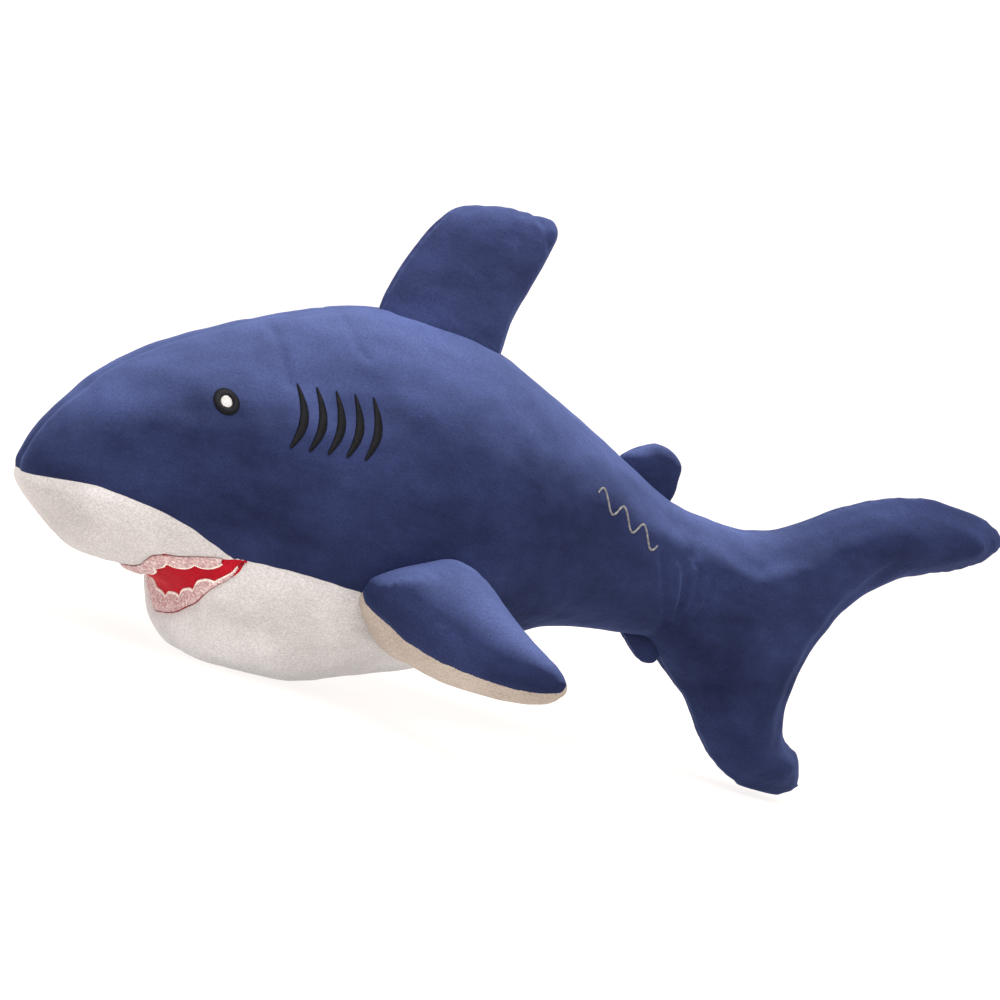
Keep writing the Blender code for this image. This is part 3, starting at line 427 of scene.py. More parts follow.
def piece_of_faces(mesh):
    middle = np.zeros(len(mesh.polygons) * 3)
    mesh.polygons.foreach_get("center", middle)
    middle = middle.reshape(-1, 3)
    blue = colour_field(middle) > 0
    reach, above = mouth_field(middle)
    in_mouth = (reach > 0) & (middle[:, 0] < -0.2)
    piece = np.where(middle[:, 1] < 0, 0, 1)
    white = np.where(above & (middle[:, 0] < -0.25), 2, 3)
    return np.where(blue, piece, np.where(in_mouth, 4, white))


piece = piece_of_faces(skin.data)
print({name: int((piece == k).sum()) for k, name in enumerate(PIECES)})


# %% [markdown]
# ## Seams
#
# Sewing pulls the two fabrics down to the stitch line, so every seam lies in a soft groove, and the fabric
# gathers a little beside it. The points where two pieces meet are found, and every point near them is pushed
# in along its normal, most on the line itself. The middle seams are shallower than the others.


# %% Draw the seams in
def seam_points(mesh, piece, first, second):
    """Points of edges that have one face on a piece of the first group and one on the second."""
    found = {}
    for polygon, k in zip(mesh.polygons, piece):
        for key in polygon.edge_keys:
            found.setdefault(key, []).append(k)
    keys = [key for key, ks in found.items() if len(ks) == 2 and
            ((ks[0] in first and ks[1] in second) or (ks[1] in first and ks[0] in second))]
    return sorted({v for key in keys for v in key})


def gather(mesh, line, depth, width, pucker, seed):
    """Pushes the skin in along a line, with small uneven gathers beside it."""
    points = points_of(mesh)
    near = distance_to(points, points[line])
    push = depth * bump(near, width)
    push += pucker * bump(near, width * 2.6) * unevenness(points, 0.016, seed)
    set_points(mesh, points - normals_of(mesh) * push[:, None])


mesh = skin.data
middle_seam = seam_points(mesh, piece, {0}, {1})
colour_seam = seam_points(mesh, piece, {0, 1}, {2, 3, 4})
lips = seam_points(mesh, piece, {4}, {2, 3})
gather(mesh, middle_seam, 0.0012, 0.0045, 0.0004, 3)
gather(mesh, colour_seam, 0.0017, 0.0045, 0.0005, 5)
gather(mesh, lips, 0.0010, 0.0032, 0.0002, 8)
points = points_of(mesh)
fold = bump(distance_to(points, fold_of_mouth(np.linspace(-0.88, 0.88, 120))), 0.005)
set_points(mesh, points - normals_of(mesh) * 0.0016 * fold[:, None])
print("seams:", len(middle_seam), "middle,", len(colour_seam), "colour,", len(lips), "lip points")

# %% [markdown]
# The form itself has soft dents and swells where the filling is uneven. They are a few millimetres high and as
# wide as a hand, so they show only as slow changes in the light.

# %% Uneven filling
points = points_of(mesh)
swell = 0.0011 * unevenness(points, 0.11, 21) + 0.0004 * unevenness(points, 0.035, 22)
swell *= 1 - bump(points[:, 2], 0.012)
set_points(mesh, points + normals_of(mesh) * swell[:, None])
points = points_of(mesh)
points[:, 2] = np.maximum(points[:, 2], 0)
set_points(mesh, points)
print("lowest point", round(float(points[:, 2].min()) * 1000, 2), "mm")

# %% [markdown]
# Where the body narrows to the tail the velvet bunches up. Folds fan out from the low corner in front of the
# tail, the same on both flanks: narrow ridges with wider hollows between them. Two faint drag lines come down
# from the front of the back fin.


# %% Folds at the tail and drag lines
def distance_to_line(points, line):
    """How far each point is from a chain of (x, z) places in the side view."""
    flat = points[:, [0, 2]]
    nearest = np.full(len(points), 1.0)
    for start, end in zip(np.array(line[:-1]), np.array(line[1:])):
        run = end - start
        t = np.clip((flat - start) @ run / (run @ run), 0, 1)
        nearest = np.minimum(nearest, np.linalg.norm(flat - start - t[:, None] * run, axis=1))
    return nearest


RIDGES = [[(.088, .160), (.097, .143), (.107, .120)], [(.107, .161), (.111, .139), (.112, .119)],
          [(.119, .157), (.120, .137), (.118, .122)]]
HOLLOWS = [[(.071, .165), (.084, .141), (.104, .116)], [(.098, .160), (.104, .142), (.1095, .121)],
           [(.1135, .159), (.116, .139), (.1155, .121)], [(.126, .155), (.1255, .137), (.1225, .124)]]
DRAGS = [[(-.264, .236), (-.261, .220), (-.256, .206)], [(-.217, .258), (-.212, .243), (-.205, .238)]]

fold = np.zeros(len(points))
for line in RIDGES:
    fold += 0.0017 * bump(distance_to_line(points, line), 0.0026)
for line in HOLLOWS:
    fold -= 0.0021 * bump(distance_to_line(points, line), 0.0034)
for line in DRAGS:
    fold -= 0.0008 * bump(distance_to_line(points, line), 0.0035)
fold *= np.clip((np.abs(points[:, 1]) - 0.006) / 0.012, 0, 1)
set_points(mesh, points + normals_of(mesh) * fold[:, None])
print("deepest fold", round(float(-fold.min()) * 1000, 2), "mm")

# %% [markdown]
# The teeth and the stitching of the mouth are laid along the lips later on. The form is now final, so the lips
# are read from it, as lines of even places that are smoothed a little.


# %% Read the two lips
def lip_line(white):
    """The lip between the mouth and one white piece, as even places from the right corner to the left one."""
    found = points_of(mesh)[seam_points(mesh, piece, {4}, {white})]
    found = found[np.argsort(found[:, 1])]
    level = np.linspace(found[0, 1], found[-1, 1], 241)
    line = np.stack([np.interp(level, found[:, 1], found[:, k]) for k in range(3)], axis=1)
    for _ in range(10):
        line[1:-1] = (line[:-2] + 2 * line[1:-1] + line[2:]) / 4
    length = np.concatenate([[0], np.cumsum(np.linalg.norm(np.diff(line, axis=0), axis=1))])
    return np.stack([np.interp(np.linspace(0, length[-1], 281), length, line[:, k]) for k in range(3)], axis=1)


upper_lip, lower_lip = lip_line(2), lip_line(3)
print("lips end at", [round(float(v), 3) for v in upper_lip[0]], [round(float(v), 3) for v in lower_lip[0]])

# %% [markdown]
# ## Fabrics
#
# Velvet is a short, dense pile. Seen along the hairs it is dark, seen across them it is light, so the edges of a
# form glow and every stroke of a hand leaves a cloud. The glow is the shader's sheen. The clouds are a slow
# noise that mixes a darker and a lighter blue, and a fine noise makes the grain of the pile. A paler blue is
# also painted in where the fabric faces up, less so on the tail: painted top light, for the light from above.


# %% A fabric with clouds and a fine grain
def fabric(name, dark, light, sheen, sheen_tint, cloud=9.0, grain=650.0, grain_height=0.0004, roughness=0.8,
           contrast=(0.35, 0.68), painted_top_light=(0, 0, 0)):
    material = bpy.data.materials.new(name)
    material.use_nodes = True
    tree = material.node_tree
    shader = tree.nodes["Principled BSDF"]
    shader.inputs["Roughness"].default_value = roughness
    shader.inputs["Specular IOR Level"].default_value = 0.03
    shader.inputs["Sheen Weight"].default_value = sheen
    shader.inputs["Sheen Roughness"].default_value = 0.38
    shader.inputs["Sheen Tint"].default_value = (*sheen_tint, 1)
    place = tree.nodes.new("ShaderNodeTexCoord")
    stretch = tree.nodes.new("ShaderNodeMapping")
    stretch.inputs["Scale"].default_value = (1.0, 1.0, 1.7)
    tree.links.new(place.outputs["Object"], stretch.inputs["Vector"])

    def noise(scale, detail, rough):
        node = tree.nodes.new("ShaderNodeTexNoise")
        node.inputs["Scale"].default_value = scale
        node.inputs["Detail"].default_value = detail
        node.inputs["Roughness"].default_value = rough
        tree.links.new(stretch.outputs["Vector"], node.inputs["Vector"])
        return node.outputs["Fac"]

    clouds = noise(cloud, 5.0, 0.62)
    ramp = tree.nodes.new("ShaderNodeValToRGB")
    ramp.color_ramp.elements[0].position = contrast[0]
    ramp.color_ramp.elements[0].color = (*dark, 1)
    ramp.color_ramp.elements[1].position = contrast[1]
    ramp.color_ramp.elements[1].color = (*light, 1)
    tree.links.new(clouds, ramp.inputs["Fac"])
    speckle = noise(grain, 2.0, 0.7)
    facing = tree.nodes.new("ShaderNodeNewGeometry")
    normal, spot = (tree.nodes.new("ShaderNodeSeparateXYZ") for _ in range(2))
    tree.links.new(facing.outputs["Normal"], normal.inputs["Vector"])
    tree.links.new(place.outputs["Object"], spot.inputs["Vector"])

    def ramp_of(value, start, end, first, last):
        node = tree.nodes.new("ShaderNodeMapRange")
        for socket, number in (("From Min", start), ("From Max", end), ("To Min", first), ("To Max", last)):
            node.inputs[socket].default_value = number
        tree.links.new(value, node.inputs["Value"])
        return node.outputs["Result"]

    def product(a, b):
        node = tree.nodes.new("ShaderNodeMath")
        node.operation = "MULTIPLY"
        tree.links.new(a, node.inputs[0])
        tree.links.new(b, node.inputs[1])
        return node.outputs["Value"]

    # Painted top light: its share rises where the normal faces up and falls off towards the tail.
    painted_top_light_share = product(ramp_of(normal.outputs["Z"], 0.3, 1.0, 0.0, 1.0),
                      ramp_of(spot.outputs["X"], 0.14, 0.3, 1.0, 0.2))
    shade = product(ramp_of(speckle, 0.3, 0.7, 0.78, 1.2), ramp_of(clouds, 0.35, 0.68, 0.88, 1.12))

    def vector(operation, first, second, socket):
        node = tree.nodes.new("ShaderNodeVectorMath")
        node.operation = operation
        if isinstance(first, tuple):
            node.inputs[0].default_value = first
        else:
            tree.links.new(first, node.inputs[0])
        tree.links.new(second, node.inputs[socket])
        return node.outputs["Vector"]

    # Painted top light is added to the fabric's own colour here.
    with_painted_top_light = vector("ADD", ramp.outputs["Color"], vector("SCALE", painted_top_light, painted_top_light_share, "Scale"), 1)
    tree.links.new(vector("SCALE", with_painted_top_light, shade, "Scale"), shader.inputs["Base Color"])
    relief = tree.nodes.new("ShaderNodeBump")
    relief.inputs["Strength"].default_value = 0.55
    relief.inputs["Distance"].default_value = grain_height
    tree.links.new(speckle, relief.inputs["Height"])
    soft = tree.nodes.new("ShaderNodeBump")
    soft.inputs["Strength"].default_value = 0.5
    soft.inputs["Distance"].default_value = 0.0022
    tree.links.new(noise(60.0, 3.0, 0.5), soft.inputs["Height"])
    tree.links.new(relief.outputs["Normal"], soft.inputs["Normal"])
    tree.links.new(soft.outputs["Normal"], shader.inputs["Normal"])
    return material


# The last colour of each velvet is painted top light, a paler blue on faces that point up.
blue_velvet = fabric("blue_velvet", (0.0125, 0.017, 0.05), (0.0235, 0.0325, 0.092), 0.22, (0.27, 0.4, 0.95),
                     painted_top_light=(0.056, 0.074, 0.16))
fin_velvet = fabric("fin_velvet", (0.021, 0.0275, 0.075), (0.036, 0.048, 0.132), 0.22, (0.27, 0.4, 0.95),
                    painted_top_light=(0.03, 0.04, 0.09))
white_plush = fabric("white_plush", (0.51, 0.495, 0.49), (0.56, 0.55, 0.55), 0.1, (1.0, 0.95, 0.9),
                     grain_height=0.0003)
# A darker, warmer copy of the white plush for the undersides of the front fins: painted shade under the fins.
fin_underside_painted_shade = fabric("fin_underside_painted_shade", (0.37, 0.315, 0.27), (0.43, 0.38, 0.33), 0.1, (1.0, 0.95, 0.9),
                   grain_height=0.0003)
red_fabric = fabric("red_fabric", (0.34, 0.008, 0.016), (0.43, 0.012, 0.024), 0.1, (1, 0.5, 0.5), grain=700.0)
tooth_felt = fabric("tooth_felt", (0.45, 0.26, 0.265), (0.64, 0.53, 0.52), 0.1, (1, 0.9, 0.9), cloud=420.0,
                    contrast=(0.4, 0.62))
cream_thread = fabric("cream_thread", (0.80, 0.74, 0.68), (0.9, 0.86, 0.8), 0.1, (1, 1, 1), cloud=90.0)
print("fabrics:", [m.name for m in (blue_velvet, fin_velvet, white_plush, fin_underside_painted_shade, red_fabric, tooth_felt)])

# %% [markdown]
# Embroidery thread is smooth rayon: it shines in a narrow band along each strand, and the strands lie side by
# side. The strands are modelled, so the material only needs its gloss and a slight change of tone.


# %% Satin thread
def thread(name, dark, light, roughness=0.36):
    material = fabric(name, dark, light, 0.0, (1, 1, 1), cloud=300.0, grain=2500.0, grain_height=0.00008,
                      roughness=roughness)
    shader = material.node_tree.nodes["Principled BSDF"]
    shader.inputs["Specular IOR Level"].default_value = 0.15
    shader.inputs["Anisotropic"].default_value = 0.4
    return material


black_thread = thread("black_thread", (0.002, 0.0022, 0.004), (0.006, 0.0065, 0.010))
white_thread = thread("white_thread", (0.58, 0.58, 0.57), (0.68, 0.68, 0.67))
grey_thread = thread("grey_thread", (0.15, 0.15, 0.17), (0.29, 0.28, 0.28))
lip_thread = thread("lip_thread", (0.16, 0.004, 0.008), (0.3, 0.008, 0.016))
print("threads made")

# %% [markdown]
# ## Part the skin into its pieces
#
# Each piece of fabric becomes an object of its own, and the imported pieces it stands for are hidden. The
# blue sides run on over the tail. The other pieces stay with the trunk.


# %% Part the skin
def part_off(name, piece_number, material):
    bm = bmesh.new()
    bm.from_mesh(skin.data)
    bm.faces.ensure_lookup_table()
    gone = [f for f, k in zip(bm.faces, piece) if k != piece_number]
    bmesh.ops.delete(bm, geom=gone, context="FACES")
    part = bpy.data.meshes.new(name)
    bm.to_mesh(part)
    bm.free()
    part.materials.clear()
    part.materials.append(material)
    part.shade_smooth()
    item = new_object(name, part)
    print(name, len(part.polygons), "faces")
    return item


left_side = part_off("left_side_skin", 0, blue_velvet)
right_side = part_off("right_side_skin", 1, blue_velvet)
throat = part_off("throat_skin", 2, white_plush)
belly = part_off("belly_skin", 3, white_plush)
mouth = part_off("mouth_fold", 4, red_fabric)
whole_tree = tree_of(skin.data)
bpy.data.objects.remove(skin)

for item, word in ((left_side, "left"), (right_side, "right")):
    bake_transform(item)
    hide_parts(word + "_side_panel", word + "_tail_panel")
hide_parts("tail_stuffing")
for item, node in ((throat, "upper_jaw_panel"), (belly, "belly_panel")):
    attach(item, "body")
    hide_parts(node)
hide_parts("body_stuffing")
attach(mouth, "body")
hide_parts("mouth_lining")

# %% [markdown]
# ## Fins
#
# A fin is two panels sewn edge to edge and filled. Its open end is sewn onto the body, so the fin starts a
# little inside the body's skin, and the line where the two meet is the root seam. The fin is wrapped and blown
# up like the body, then its edge seam is drawn in along the line that runs around its outline.


# %% Make a stuffed fin
def fin_form(name, node, pivot, away, reach, tuck, voxel=0.0036, cap=0.004):
    """The fin's stuffing, run on into the body behind its root, wrapped and blown up."""
    bm = bmesh.new()
    stuffing(bm, node)
    core = points_of(frame["nodes"][node].data)
    height = (core - np.array(pivot)) @ np.array(away)
    low = core[height < reach]
    behind = low - np.outer((low - np.array(pivot)) @ np.array(away) + tuck, away)
    bridge(bm, np.concatenate([low, behind]))
    item = even_skin(name, bm, voxel, 5)
    plump(item, cap)
    smooth_points(item.data, 1)
    return item


def hinge(name):
    """A place on a joint's axis, and the axis."""
    joint = next(j for j in frame["joints"] if j["name"] == name)
    return np.array(joint["pos_m"], float), np.array(joint["axis"], float)


pivot, axis = hinge("dorsal_lean")
up = np.array([-axis[2], 0, axis[0]])
dorsal = fin_form("dorsal_fin_skin", "dorsal_fin_stuffing", pivot, up, 0.026, 0.012)
pivot2, axis2 = hinge("second_dorsal_lean")
up2 = np.array([-axis2[2], 0, axis2[0]])
second = fin_form("second_dorsal_fin_skin", "second_dorsal_fin_stuffing", pivot2, up2, 0.010, 0.010, 0.0024, 0.0025)
pivot3, axis3 = hinge("anal_lean")
down = np.array([axis3[2], 0, -axis3[0]])
anal = fin_form("anal_fin_skin", "anal_fin_stuffing", pivot3, down, 0.009, 0.010, 0.0024, 0.0025)


# %% [markdown]
# The seam around a fin lies where its two panels meet. A point of the skin belongs to the panel it is nearer to,
# so the seam is the line where both are equally far. The skin is cut there, and drawn in along the cut. The
# tip of the dorsal fin is folded over a little, as a corner is that has been turned right side out.


# %% Draw in the edge seam of a fin
def sides_of(first, second):
    """Above zero where the first of two packed panels is nearer than the second."""
    trees = [tree_of(frame["nodes"][name].data) for name in (first, second)]
    return lambda points: how_far(points, trees[1]) - how_far(points, trees[0])


def seam_round(item, nearer, depth, seed):
    bm = bmesh.new()
    bm.from_mesh(item.data)
    line = np.array([v.co for v in cut_along(bm, nearer)])
    bm.to_mesh(item.data)
    bm.free()
    points = points_of(item.data)
    near = distance_to(points, line)
    push = depth * bump(near, 0.0034) + 0.0004 * bump(near, 0.010) * unevenness(points, 0.014, seed)
    push -= 0.0006 * unevenness(points, 0.045, seed + 1)
    set_points(item.data, points - normals_of(item.data) * push[:, None])
    print(item.name, "edge seam of", len(line), "points")


TIP_FOLDS = [(0.0008, 0.0070, [(-.080, .369), (-.073, .362)]),
             (-0.0017, 0.0032, [(-.095, .375), (-.085, .364), (-.078, .352)]),
             (-0.0013, 0.0050, [(-.104, .372), (-.096, .360), (-.092, .345)])]


def fold_tip(mesh):
    points = points_of(mesh)
    rise = sum(height * bump(distance_to_line(points, line), width) for height, width, line in TIP_FOLDS)
    set_points(mesh, points + normals_of(mesh) * rise[:, None])


for item, body, place, direction, bend in ((dorsal, "dorsal_fin", pivot, up, 0.03),
                                           (second, "second_dorsal_fin", pivot2, up2, 0.012),
                                           (anal, "anal_fin", pivot3, down, 0.012)):
    refine(item)
    seam_round(item, sides_of(body + "_left_panel", body + "_right_panel"), 0.0014, 31)
    if item is dorsal:
        fold_tip(item.data)
    item.data.materials.clear()
    item.data.materials.append(fin_velvet if item is dorsal else blue_velvet)
    item.data.shade_smooth()
    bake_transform(item)
    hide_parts(body + "_stuffing", body + "_left_panel", body + "_right_panel")

# %% [markdown]
# ## Front fins
#
# The front fins are blue on top and white underneath, so each is cut along its edge seam into two pieces. The
# left one is made and cut, and the right one is its mirror image. The underside is filled out more than the top,
# most of all near the body, so that a white band shows below the blue. The white underneath is a darker, warmer
# copy of the white plush, with the shade under the fins painted in.


# %% Make the front fins
pivot_left, _ = hinge("left_pectoral_flap")
out_left = np.array([0.0, -1.0, 0.0])
front = fin_form("left_pectoral_form", "left_pectoral_fin_stuffing", pivot_left, out_left, 0.024, 0.016,
                 cap=0.0045)
refine(front)
upper_side = sides_of("left_pectoral_fin_upper_panel", "left_pectoral_fin_lower_panel")
points = points_of(front.data)
UNDERSIDE_FULLNESS = 0.013
fullness = np.clip(-upper_side(points) / 0.03, 0, 1)
towards_root = np.clip((0.21 + points[:, 1]) / 0.09, 0.15, 1.0)
points[:, 2] -= UNDERSIDE_FULLNESS * fullness * (2 - fullness) * towards_root
set_points(front.data, points)
seam_round(front, upper_side, 0.0014, 41)


def front_fin_piece(name, upper, mirror, material):
    bm = bmesh.new()
    bm.from_mesh(front.data)
    middle = np.array([f.calc_center_median() for f in bm.faces])
    is_upper = upper_side(middle) > 0
    gone = [f for f, k in zip(bm.faces, is_upper) if k != upper]
    bmesh.ops.delete(bm, geom=gone, context="FACES")
    if mirror:
        for v in bm.verts:
            v.co.y = -v.co.y
        bmesh.ops.reverse_faces(bm, faces=bm.faces)
    part = bpy.data.meshes.new(name)
    bm.to_mesh(part)
    bm.free()
    part.materials.clear()
    part.materials.append(material)
    part.shade_smooth()
    return new_object(name, part)


for word, mirror in (("left", False), ("right", True)):
    body = word + "_pectoral_fin"
    place, _ = hinge(word + "_pectoral_flap")
    # The white undersides get the copy of the white plush with painted shade.
    for upper, node, material, slot_name in ((True, "upper_panel", blue_velvet, "blue_velvet"),
                                             (False, "lower_panel", fin_underside_painted_shade, "white_fabric")):
        item = front_fin_piece(f"{word}_front_fin_{'top' if upper else 'underside'}", upper, mirror, material)
        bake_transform(item)
        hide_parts(f"{body}_{node}")
        if upper:
            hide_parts(body + "_stuffing")
        print(item.name, len(item.data.polygons), "faces")
bpy.data.objects.remove(front)

# %% [markdown]
# ## Embroidery
#
# Satin stitch lays threads side by side from one edge of a mark to the other. Each thread rises out of the
# fabric, lies across the mark and goes down again, so a mark is slightly domed and shines along its threads.
# A mark is given as a left and a right edge in the side view. Each pair of places is carried onto the skin, and
# a thin tube is laid between them.


# %% Lay satin stitches on the skin
def onto_flank(x, z, side):
    """Where a needle pushed in from the side meets the skin, and which way the skin faces there."""
    place, facing = whole_tree.ray_cast(Vector((x, -side * 0.4, z)), Vector((0, side, 0)))[:2]
    if facing.y * side > 0:
        facing = -facing
    return np.array(place), np.array(facing)


def lay_thread(verts, faces, start, end, start_up, end_up, radius, rise):
    """Adds one thread, a five-sided tube that domes up between its two ends."""
    steps, sides = 6, 5
    across = end - start
    length = np.linalg.norm(across)
    if length < 1e-5:
        return
    along_thread = across / length
    first = len(verts)
    for i in range(steps + 1):
        t = i / steps
        up = start_up * (1 - t) + end_up * t
        up /= np.linalg.norm(up)
        sideways = np.cross(along_thread, up)
        lift = rise * (math.sin(math.pi * min(max(t, 0.04), 0.96))) ** 0.5 - radius * 0.6
        centre = start + across * t + up * lift
        thickness = radius * (0.55 + 0.45 * math.sin(math.pi * t) ** 0.5)
        for k in range(sides):
            turn = 2 * math.pi * k / sides
            verts.append(centre + (sideways * math.cos(turn) + up * math.sin(turn)) * thickness)
    for i in range(steps):
        for k in range(sides):
            a = first + i * sides + k
            b = first + i * sides + (k + 1) % sides
            faces.append((a, b, b + sides, a + sides))
    faces.append(tuple(first + k for k in reversed(range(sides))))
    faces.append(tuple(first + steps * sides + k for k in range(sides)))


def stitched(name, pairs, side, material, radius, rise):
    """A mark of satin stitches between pairs of (x, z) places on one flank."""
    verts, faces = [], []
    for (x0, z0), (x1, z1) in pairs:
        start, start_up = onto_flank(x0, z0, side)
        end, end_up = onto_flank(x1, z1, side)
        lay_thread(verts, faces, start, end, start_up, end_up, radius, rise)
    made = bpy.data.meshes.new(name)
    made.from_pydata([tuple(v) for v in verts], [], faces)
    made.materials.append(material)
    made.shade_smooth()
    item = new_object(name, made)
    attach(item, "body")
    return item


THREAD_PITCH = 0.00042
THREAD_RADIUS = 0.00030
MOTIF_THREAD_RADIUS = 0.00034
print("stitches", THREAD_PITCH * 1000, "mm apart")

# %% [markdown]
# A gill mark is a crescent that bulges to the rear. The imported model's boxes say where each one starts and
# ends, so the marks are read from them.

# %% Gill marks
GILL_BULGE = 0.0058
GILL_LEAN = 0.0015
GILL_HALF_WIDTH = 0.0024
for word, side in (("left", 1), ("right", -1)):
    for number in range(1, 6):
        node = f"{word}_gill_{number}"
        low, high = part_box(node)
        low.z, high.z = low.z + 0.002, high.z - 0.004
        count = int((high.z - low.z) / THREAD_PITCH)
        front_x = low.x + 0.0006
        pairs = []
        wobble = np.random.default_rng(100 + number)
        for i in range(count + 1):
            t = i / count
            z = high.z + (low.z - high.z) * t
            x = front_x + GILL_BULGE * math.sin(math.pi * t) + GILL_LEAN * t
            half = 0.0007 + GILL_HALF_WIDTH * math.sin(math.pi * t) ** 0.75 + wobble.uniform(-0.00012, 0.00012)
            pairs.append(((x - half, z + 0.0004), (x + half, z - 0.0004)))
        mark = stitched(node + "_stitches", pairs, side, black_thread, THREAD_RADIUS, 0.0011)
        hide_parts(node)
print("gill marks:", count + 1, "threads in each")

# %% [markdown]
# The eye is a black ring of stitches that run outwards like spokes, around a white centre of level stitches.

# %% Eyes
for word, side in (("left", 1), ("right", -1)):
    low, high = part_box(word + "_eye_ring")
    x, z = (low.x + high.x) / 2, (low.z + high.z) / 2
    outer = (high.z - low.z) / 2 * 0.82
    low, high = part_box(word + "_eye_centre")
    inner = (high.z - low.z) / 2 * 0.88
    count = int(2 * math.pi * outer / THREAD_PITCH)
    spokes = []
    for i in range(count):
        turn = 2 * math.pi * i / count
        ragged = 0.00018 * math.sin(i * 2.4)
        spokes.append(((x + math.cos(turn) * (inner * 0.92), z + math.sin(turn) * (inner * 0.92)),
                       (x + math.cos(turn) * (outer + ragged), z + math.sin(turn) * (outer + ragged))))
    ring = stitched(word + "_eye_ring_stitches", spokes, side, black_thread, THREAD_RADIUS, 0.0011)
    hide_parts(word + "_eye_ring")
    rows = int(2 * inner / THREAD_PITCH)
    level = []
    for i in range(rows + 1):
        height = inner * (2 * i / rows - 1)
        half = math.sqrt(max(0.0, inner ** 2 - height ** 2)) + 0.0003
        level.append(((x - half, z + height), (x + half, z + height)))
    centre = stitched(word + "_eye_centre_stitches", level, side, white_thread, THREAD_RADIUS, 0.0014)
    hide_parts(word + "_eye_centre")
print("eye ring:", count, "threads, centre:", rows + 1)

# %% [markdown]
# The wave line on the left flank is a narrow band of short stitches in a pale thread, and its outline follows
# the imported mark: three waves that fall towards the tail.

# %% Flank motif
low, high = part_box("flank_motif")
WAVES = 3
MOTIF_DROP = 0.026
MOTIF_HALF_WIDTH = 0.00095
wave = (high.z - low.z - MOTIF_DROP) / 2
steps = 400
t = np.linspace(0, 1, steps + 1)
line = np.stack([low.x + 0.0008 + t * (high.x - low.x - 0.0016),
                 high.z - wave - t * MOTIF_DROP + wave * 0.85 * np.sin(2 * math.pi * WAVES * t)], axis=1)
length = np.concatenate([[0], np.cumsum(np.linalg.norm(np.diff(line, axis=0), axis=1))])
even = np.linspace(0, length[-1], int(length[-1] / (THREAD_PITCH * 1.35)))
line = np.stack([np.interp(even, length, line[:, k]) for k in (0, 1)], axis=1)
run = np.gradient(line, axis=0)
run /= np.linalg.norm(run, axis=1, keepdims=True)
across = np.stack([-run[:, 1], run[:, 0]], axis=1) + run * 0.55
across /= np.linalg.norm(across, axis=1, keepdims=True)
pairs = [(tuple(p - a * MOTIF_HALF_WIDTH), tuple(p + a * MOTIF_HALF_WIDTH)) for p, a in zip(line, across)]
motif = stitched("flank_motif_stitches", pairs, 1, grey_thread, MOTIF_THREAD_RADIUS, 0.0009)
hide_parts("flank_motif")
print("flank motif:", len(pairs), "threads")

# %% [markdown]
# ## Teeth
#
# The teeth are two strips of mottled felt sewn onto the mouth's red fabric. Their edge is cut in scallops and
# bound with a cream overlock stitch. Each strip is a thin sheet laid on the mouth between a lip and the fold.
# It is laid in small steps that follow the fabric: at right angles to the upper lip, and from the lower lip
# straight towards the fold, where the curve is tighter and slanting teeth would cross.


# %% Lay a strip of teeth on the mouth
mouth_tree = tree_of(mouth.data)


def tooth_strip(name, lip, teeth, reach, base, node, straight):
    """Scallops from a lip towards the fold, deepest in front, laid on the mouth's fabric."""
    rows = 10
    grid = []
    steps = len(lip) - 1
    runs = np.gradient(lip, axis=0)
    for i, (start, run) in enumerate(zip(lip, runs)):
        inward = fold_of_mouth(start[1] / MOUTH_HALF_WIDTH) - start
        away = abs(2 * i / steps - 1)
        scallop = abs(math.sin(math.pi * teeth * i / steps)) ** 0.6
        depth = reach * (1 - 0.5 * away ** 4) * (base + (1 - base) * scallop)
        place, facing = (np.array(v) for v in mouth_tree.find_nearest(Vector(start))[:2])
        sign = 1.0 if np.cross(run, facing) @ inward > 0 else -1.0
        for j in range(rows + 1):
            v = j / rows
            grid.append(place + facing * (0.0006 + 0.0012 * math.sqrt(1 - (2 * v - 1) ** 8)))
            step = inward - facing * (inward @ facing) if straight else np.cross(run, facing) * sign
            step /= np.linalg.norm(step)
            place, facing = (np.array(v) for v in mouth_tree.find_nearest(Vector(place + step * depth / rows))[:2])
    grid = np.array(grid).reshape(steps + 1, rows + 1, 3)
    for _ in range(4):
        grid[1:-1, 1:-1] = (grid[:-2, 1:-1] + grid[2:, 1:-1] + grid[1:-1, :-2] + grid[1:-1, 2:]) / 4
    faces = []
    for i in range(steps):
        for j in range(rows):
            a = i * (rows + 1) + j
            faces.append((a, a + 1, a + rows + 2, a + rows + 1))
    made = bpy.data.meshes.new(name)
    made.from_pydata([tuple(v) for v in grid.reshape(-1, 3)], [], faces)
    made.materials.append(tooth_felt)
    made.shade_smooth()
    item = new_object(name, made)
    thick = item.modifiers.new("thickness", "SOLIDIFY")
    thick.thickness = 0.0009
    thick.offset = 0
    bpy.context.view_layer.update()
    item.data = bpy.data.meshes.new_from_object(item.evaluated_get(bpy.context.evaluated_depsgraph_get()))
    item.modifiers.clear()
    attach(item, "body")
    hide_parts(node)
    print(name, len(item.data.polygons), "faces")
    return grid[:, -1]


